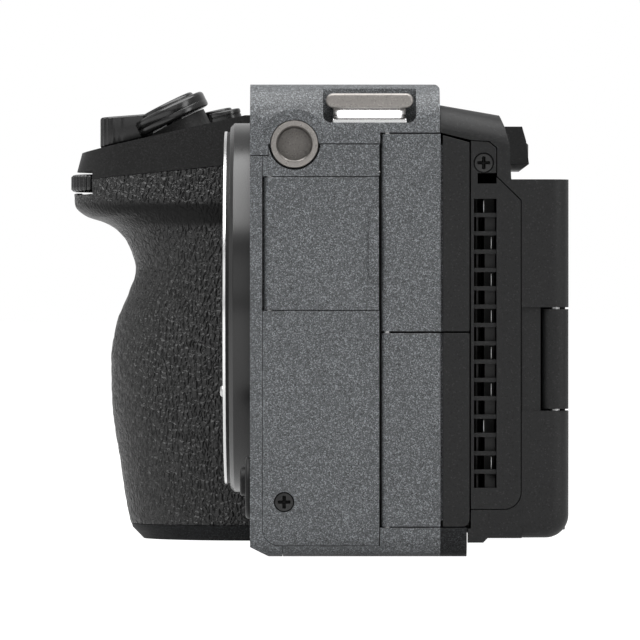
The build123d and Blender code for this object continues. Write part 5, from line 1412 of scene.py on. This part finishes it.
@dataclass
class Casework:
    """The casing parts whose CAD shape is right, with their sharp edges rounded.

    The doors that fall away have a wider rounding at their left front corner. The split part is
    painted like the body and shaded dark behind the split's X and beyond its Y.
    """

    widths: dict[str, float] = field(
        default_factory=lambda: {
            "front_casting": 0.3, "top_cover": 0.3, "side_panel": 0.15, "jack_door": 0.15,
            "upper_port_door": 0.15, "lower_port_door": 0.15, "upper_door_trim": 0.12,
            "lower_door_trim": 0.12, "grille_frame": 0.12, "rear_cover": 0.3, "right_cover": 0.2,
            "card_door": 0.15, "base_plate": 0.2, "battery_door": 0.15, "screen_shell": 0.4,
            "grip_top_cover": 0.3, "accessory_shoe": 0.1, "mount_flange": 0.08, "mount_ring": 0.2,
            "lens_release_pod": 0.15, "lens_release_button": 0.2, "select_key": 0.2,
            "control_wheel": 0.12, "menu_key": 0.2, "pointer_stick": 0.15, "heat_sink": 0.04,
            "battery": 0.6, "audio_jacks": 0.08, "port_connectors": 0.08, "memory_cards": 0.2,
            "sensor_frame": 0.2, "throat_baffle": 0.1,
        }
    )
    fall: float = 1.4
    falling: tuple[str, ...] = ("upper_port_door", "lower_port_door")
    split_part: str = "base_plate"
    split: Pair = (17.95, 40.5)
    split_shade: float = 0.84
    near_corner: float = 2e-5
    fall_segments: int = 6
    segments: int = 2
    flat_angle: float = 0.4
    angle: float = 35.0

    def fell(self, b: bmesh.types.BMesh) -> None:
        """Round the left front corner of a door.

        Args:
            b: the door.
        """
        corner = np.min([v.co[:2] for v in b.verts], axis=0)
        near = {v for v in b.verts if np.abs(np.array(v.co[:2]) - corner).max() < self.near_corner}
        edges = [edge for edge in b.edges if near.issuperset(edge.verts)]
        bmesh.ops.bevel(
            b, geom=edges, offset=self.fall * MM, segments=self.fall_segments, profile=0.5, affect="EDGES"
        )

    def cut(self, b: bmesh.types.BMesh) -> None:
        """Cut faces along the planes of the split.

        Args:
            b: the split part.
        """
        for at, across in zip(self.split, (Vector((1, 0, 0)), Vector((0, 1, 0)))):
            everything = b.verts[:] + b.edges[:] + b.faces[:]
            bmesh.ops.bisect_plane(b, geom=everything, plane_co=at * MM * across, plane_no=across)

    def darken(self, mesh: bpy.types.Mesh) -> None:
        """Shade the faces behind and beyond the split.

        Args:
            mesh: the split part after the cut.
        """
        centres = np.empty(3 * len(mesh.polygons))
        mesh.polygons.foreach_get("center", centres)
        behind = centres.reshape(-1, 3)[:, :2] > np.array(self.split) * MM
        dark = np.where(behind.any(axis=1), self.split_shade, 0.0).astype(np.float32)
        mesh.attributes.new("shade", "FLOAT", "FACE").data.foreach_set("value", dark)

    def soften(self, node: str, width: float) -> None:
        """Stand for a CAD node with a copy whose triangles are merged and whose edges are rounded.

        Args:
            node: CAD node.
            width: the rounding's width in millimetres.
        """
        mesh = frame["nodes"][node].data.copy()
        b = bmesh.new()
        b.from_mesh(mesh)
        bmesh.ops.remove_doubles(b, verts=b.verts, dist=2 * MERGE)
        bmesh.ops.dissolve_limit(b, angle_limit=radians(self.flat_angle), verts=b.verts, edges=b.edges)
        if node in self.falling:
            self.fell(b)
        if node == self.split_part:
            self.cut(b)
        b.to_mesh(mesh)
        b.free()
        if node == self.split_part:
            self.darken(mesh)
        piece = linked(node + "_finished", mesh)
        mesh.shade_smooth()
        mesh.set_sharp_from_angle(angle=radians(self.angle))
        rounding = piece.modifiers.new("rounding", "BEVEL")
        rounding.width = width * MM
        rounding.segments = self.segments
        rounding.limit_method = "ANGLE"
        rounding.angle_limit = radians(self.angle)
        rounding.use_clamp_overlap = rounding.harden_normals = True
        settle(piece, node, "grey_paint" if node == self.split_part else None)

    def build(self) -> None:
        """Make every rounded copy."""
        for node, width in self.widths.items():
            self.soften(node, width)


@dataclass(frozen=True)
class Lamp:
    """A soft rectangular lamp: place, width and height and target in metres, power in watts."""

    name: str
    place: Vec
    size: Pair
    power: float
    target: Vec = (0.0, 0.0, 0.04)

    def build(self) -> None:
        """Add the lamp, facing its target."""
        data = bpy.data.lights.new(self.name, "AREA")
        data.shape = "RECTANGLE"
        data.size, data.size_y = self.size
        data.energy = self.power
        made = linked(self.name, data)
        made.location = self.place
        facing = Vector(self.target) - Vector(self.place)
        made.rotation_euler = facing.to_track_quat("-Z", "Y").to_euler()


@dataclass
class Studio:
    """Floor, backdrop, lamps and the camera."""

    distance: float = 1170.0
    aim: Vec = (-1.8, 0.0, 38.9)
    lens: float = 401.0
    sensor: float = 36.0
    clip: Pair = (0.05, 400.0)
    world_light: float = 0.18
    world_mirrored: float = 0.4
    floor_half: float = 120000.0
    floor_drop: float = 0.05
    floor_colour: tuple[float, ...] = (0.75, 0.75, 0.75, 1.0)
    floor_glow: float = 1.4
    floor_share: float = 0.72
    floor_mirrored: float = 0.6
    lamps: tuple[Lamp, ...] = (
        Lamp("overhead", (0.0, -0.28, 1.18), (1.8, 1.4), 38.0, (0.0, -0.28, 0.0)),
        Lamp("fill", (0.2, -2.4, 0.9), (1.8, 1.2), 5.0),
        Lamp("rear_strip", (1.3, -0.9, 0.45), (0.5, 1.3), 9.0),
        Lamp("front_strip", (-1.5, -0.1, 0.6), (0.9, 1.6), 2.0),
        Lamp("back", (0.3, 1.7, 0.5), (2.4, 1.6), 3.0),
    )

    def camera(self) -> None:
        """Put the camera where the photograph was taken from."""
        data = bpy.data.cameras.new("camera")
        data.lens = self.lens
        data.sensor_width = self.sensor
        data.clip_start, data.clip_end = self.clip
        made = linked("camera", data)
        made.location = (self.aim[0] * MM, (LEFT_FACE - self.distance) * MM, self.aim[2] * MM)
        made.rotation_euler = (pi / 2, 0, 0)
        bpy.context.scene.camera = made

    @staticmethod
    def seen(g: Graph, mirrored: float) -> Socket:
        """How much of the white shows: all to the eye and through glass, a share in reflections.

        Args:
            g: graph of the world or of a material.
            mirrored: the share in reflections.

        Returns:
            The amount's socket.
        """
        rays = g.node("LightPath").outputs
        plain = g.math("MAXIMUM", rays["Is Camera Ray"], rays["Is Transmission Ray"])
        return g.math("MAXIMUM", plain, g.math("MULTIPLY", rays["Is Glossy Ray"], mirrored))

    def world(self) -> None:
        """White all round, which lights the scene only weakly."""
        world = bpy.data.worlds.new("studio")
        bpy.context.scene.world = world
        world.use_nodes = True
        g = Graph(world.node_tree)
        seen = g.math("MULTIPLY", self.seen(g, self.world_mirrored), 1 - self.world_light)
        strength = g.math("ADD", self.world_light, seen)
        shade = g.node("Background", {"Color": WHITE, "Strength": strength})
        g.node("OutputWorld", {"Surface": shade.outputs[0]})

    def floor(self) -> None:
        """Pale floor, clear from below, that keeps a soft shadow."""
        corners = np.array([(-1, -1, 0), (1, -1, 0), (1, 1, 0), (-1, 1, 0)], float)
        points = self.floor_half * corners - (0, 0, self.floor_drop)
        floor = new_object("studio_floor", points, [(0, 1, 2, 3)])
        material = bpy.data.materials.new("pale_floor")
        material.use_nodes = True
        g = Graph(material.node_tree)
        matt = g.node("BsdfDiffuse", {"Color": self.floor_colour}).outputs[0]
        glow = g.node("Emission", {"Color": WHITE, "Strength": self.floor_glow}).outputs[0]
        share = g.math("MULTIPLY", self.seen(g, self.floor_mirrored), self.floor_share)
        mixed = g.node("MixShader", {0: share, 1: matt, 2: glow}).outputs[0]
        below = g.node("NewGeometry").outputs["Backfacing"]
        clear = g.node("BsdfTransparent").outputs[0]
        shown = g.node("MixShader", {0: below, 1: mixed, 2: clear}).outputs[0]
        g.node("OutputMaterial", {"Surface": shown})
        floor.data.materials.append(material)

    def build(self) -> None:
        """Set up the whole studio."""
        self.camera()
        for lamp in self.lamps:
            lamp.build()
        self.world()
        self.floor()
        bpy.context.scene.view_settings.view_transform = "Standard"


def main() -> None:
    """Build the studio and every piece in order."""
    logging.basicConfig(level=logging.INFO, format="%(message)s")
    Studio().build()
    PAINTS.dress_nodes()
    for piece in (
        Casework(), GripLeather(), StrapLugs(), Sockets(), Screws(), Dials(), ShutterGroup(), MountGrooveShade(),
        CoolingDuct(), ContactRow()
    ):
        piece.build()
        LOG.info("built %s", type(piece).__name__)


if __name__ == "__main__":
    main()
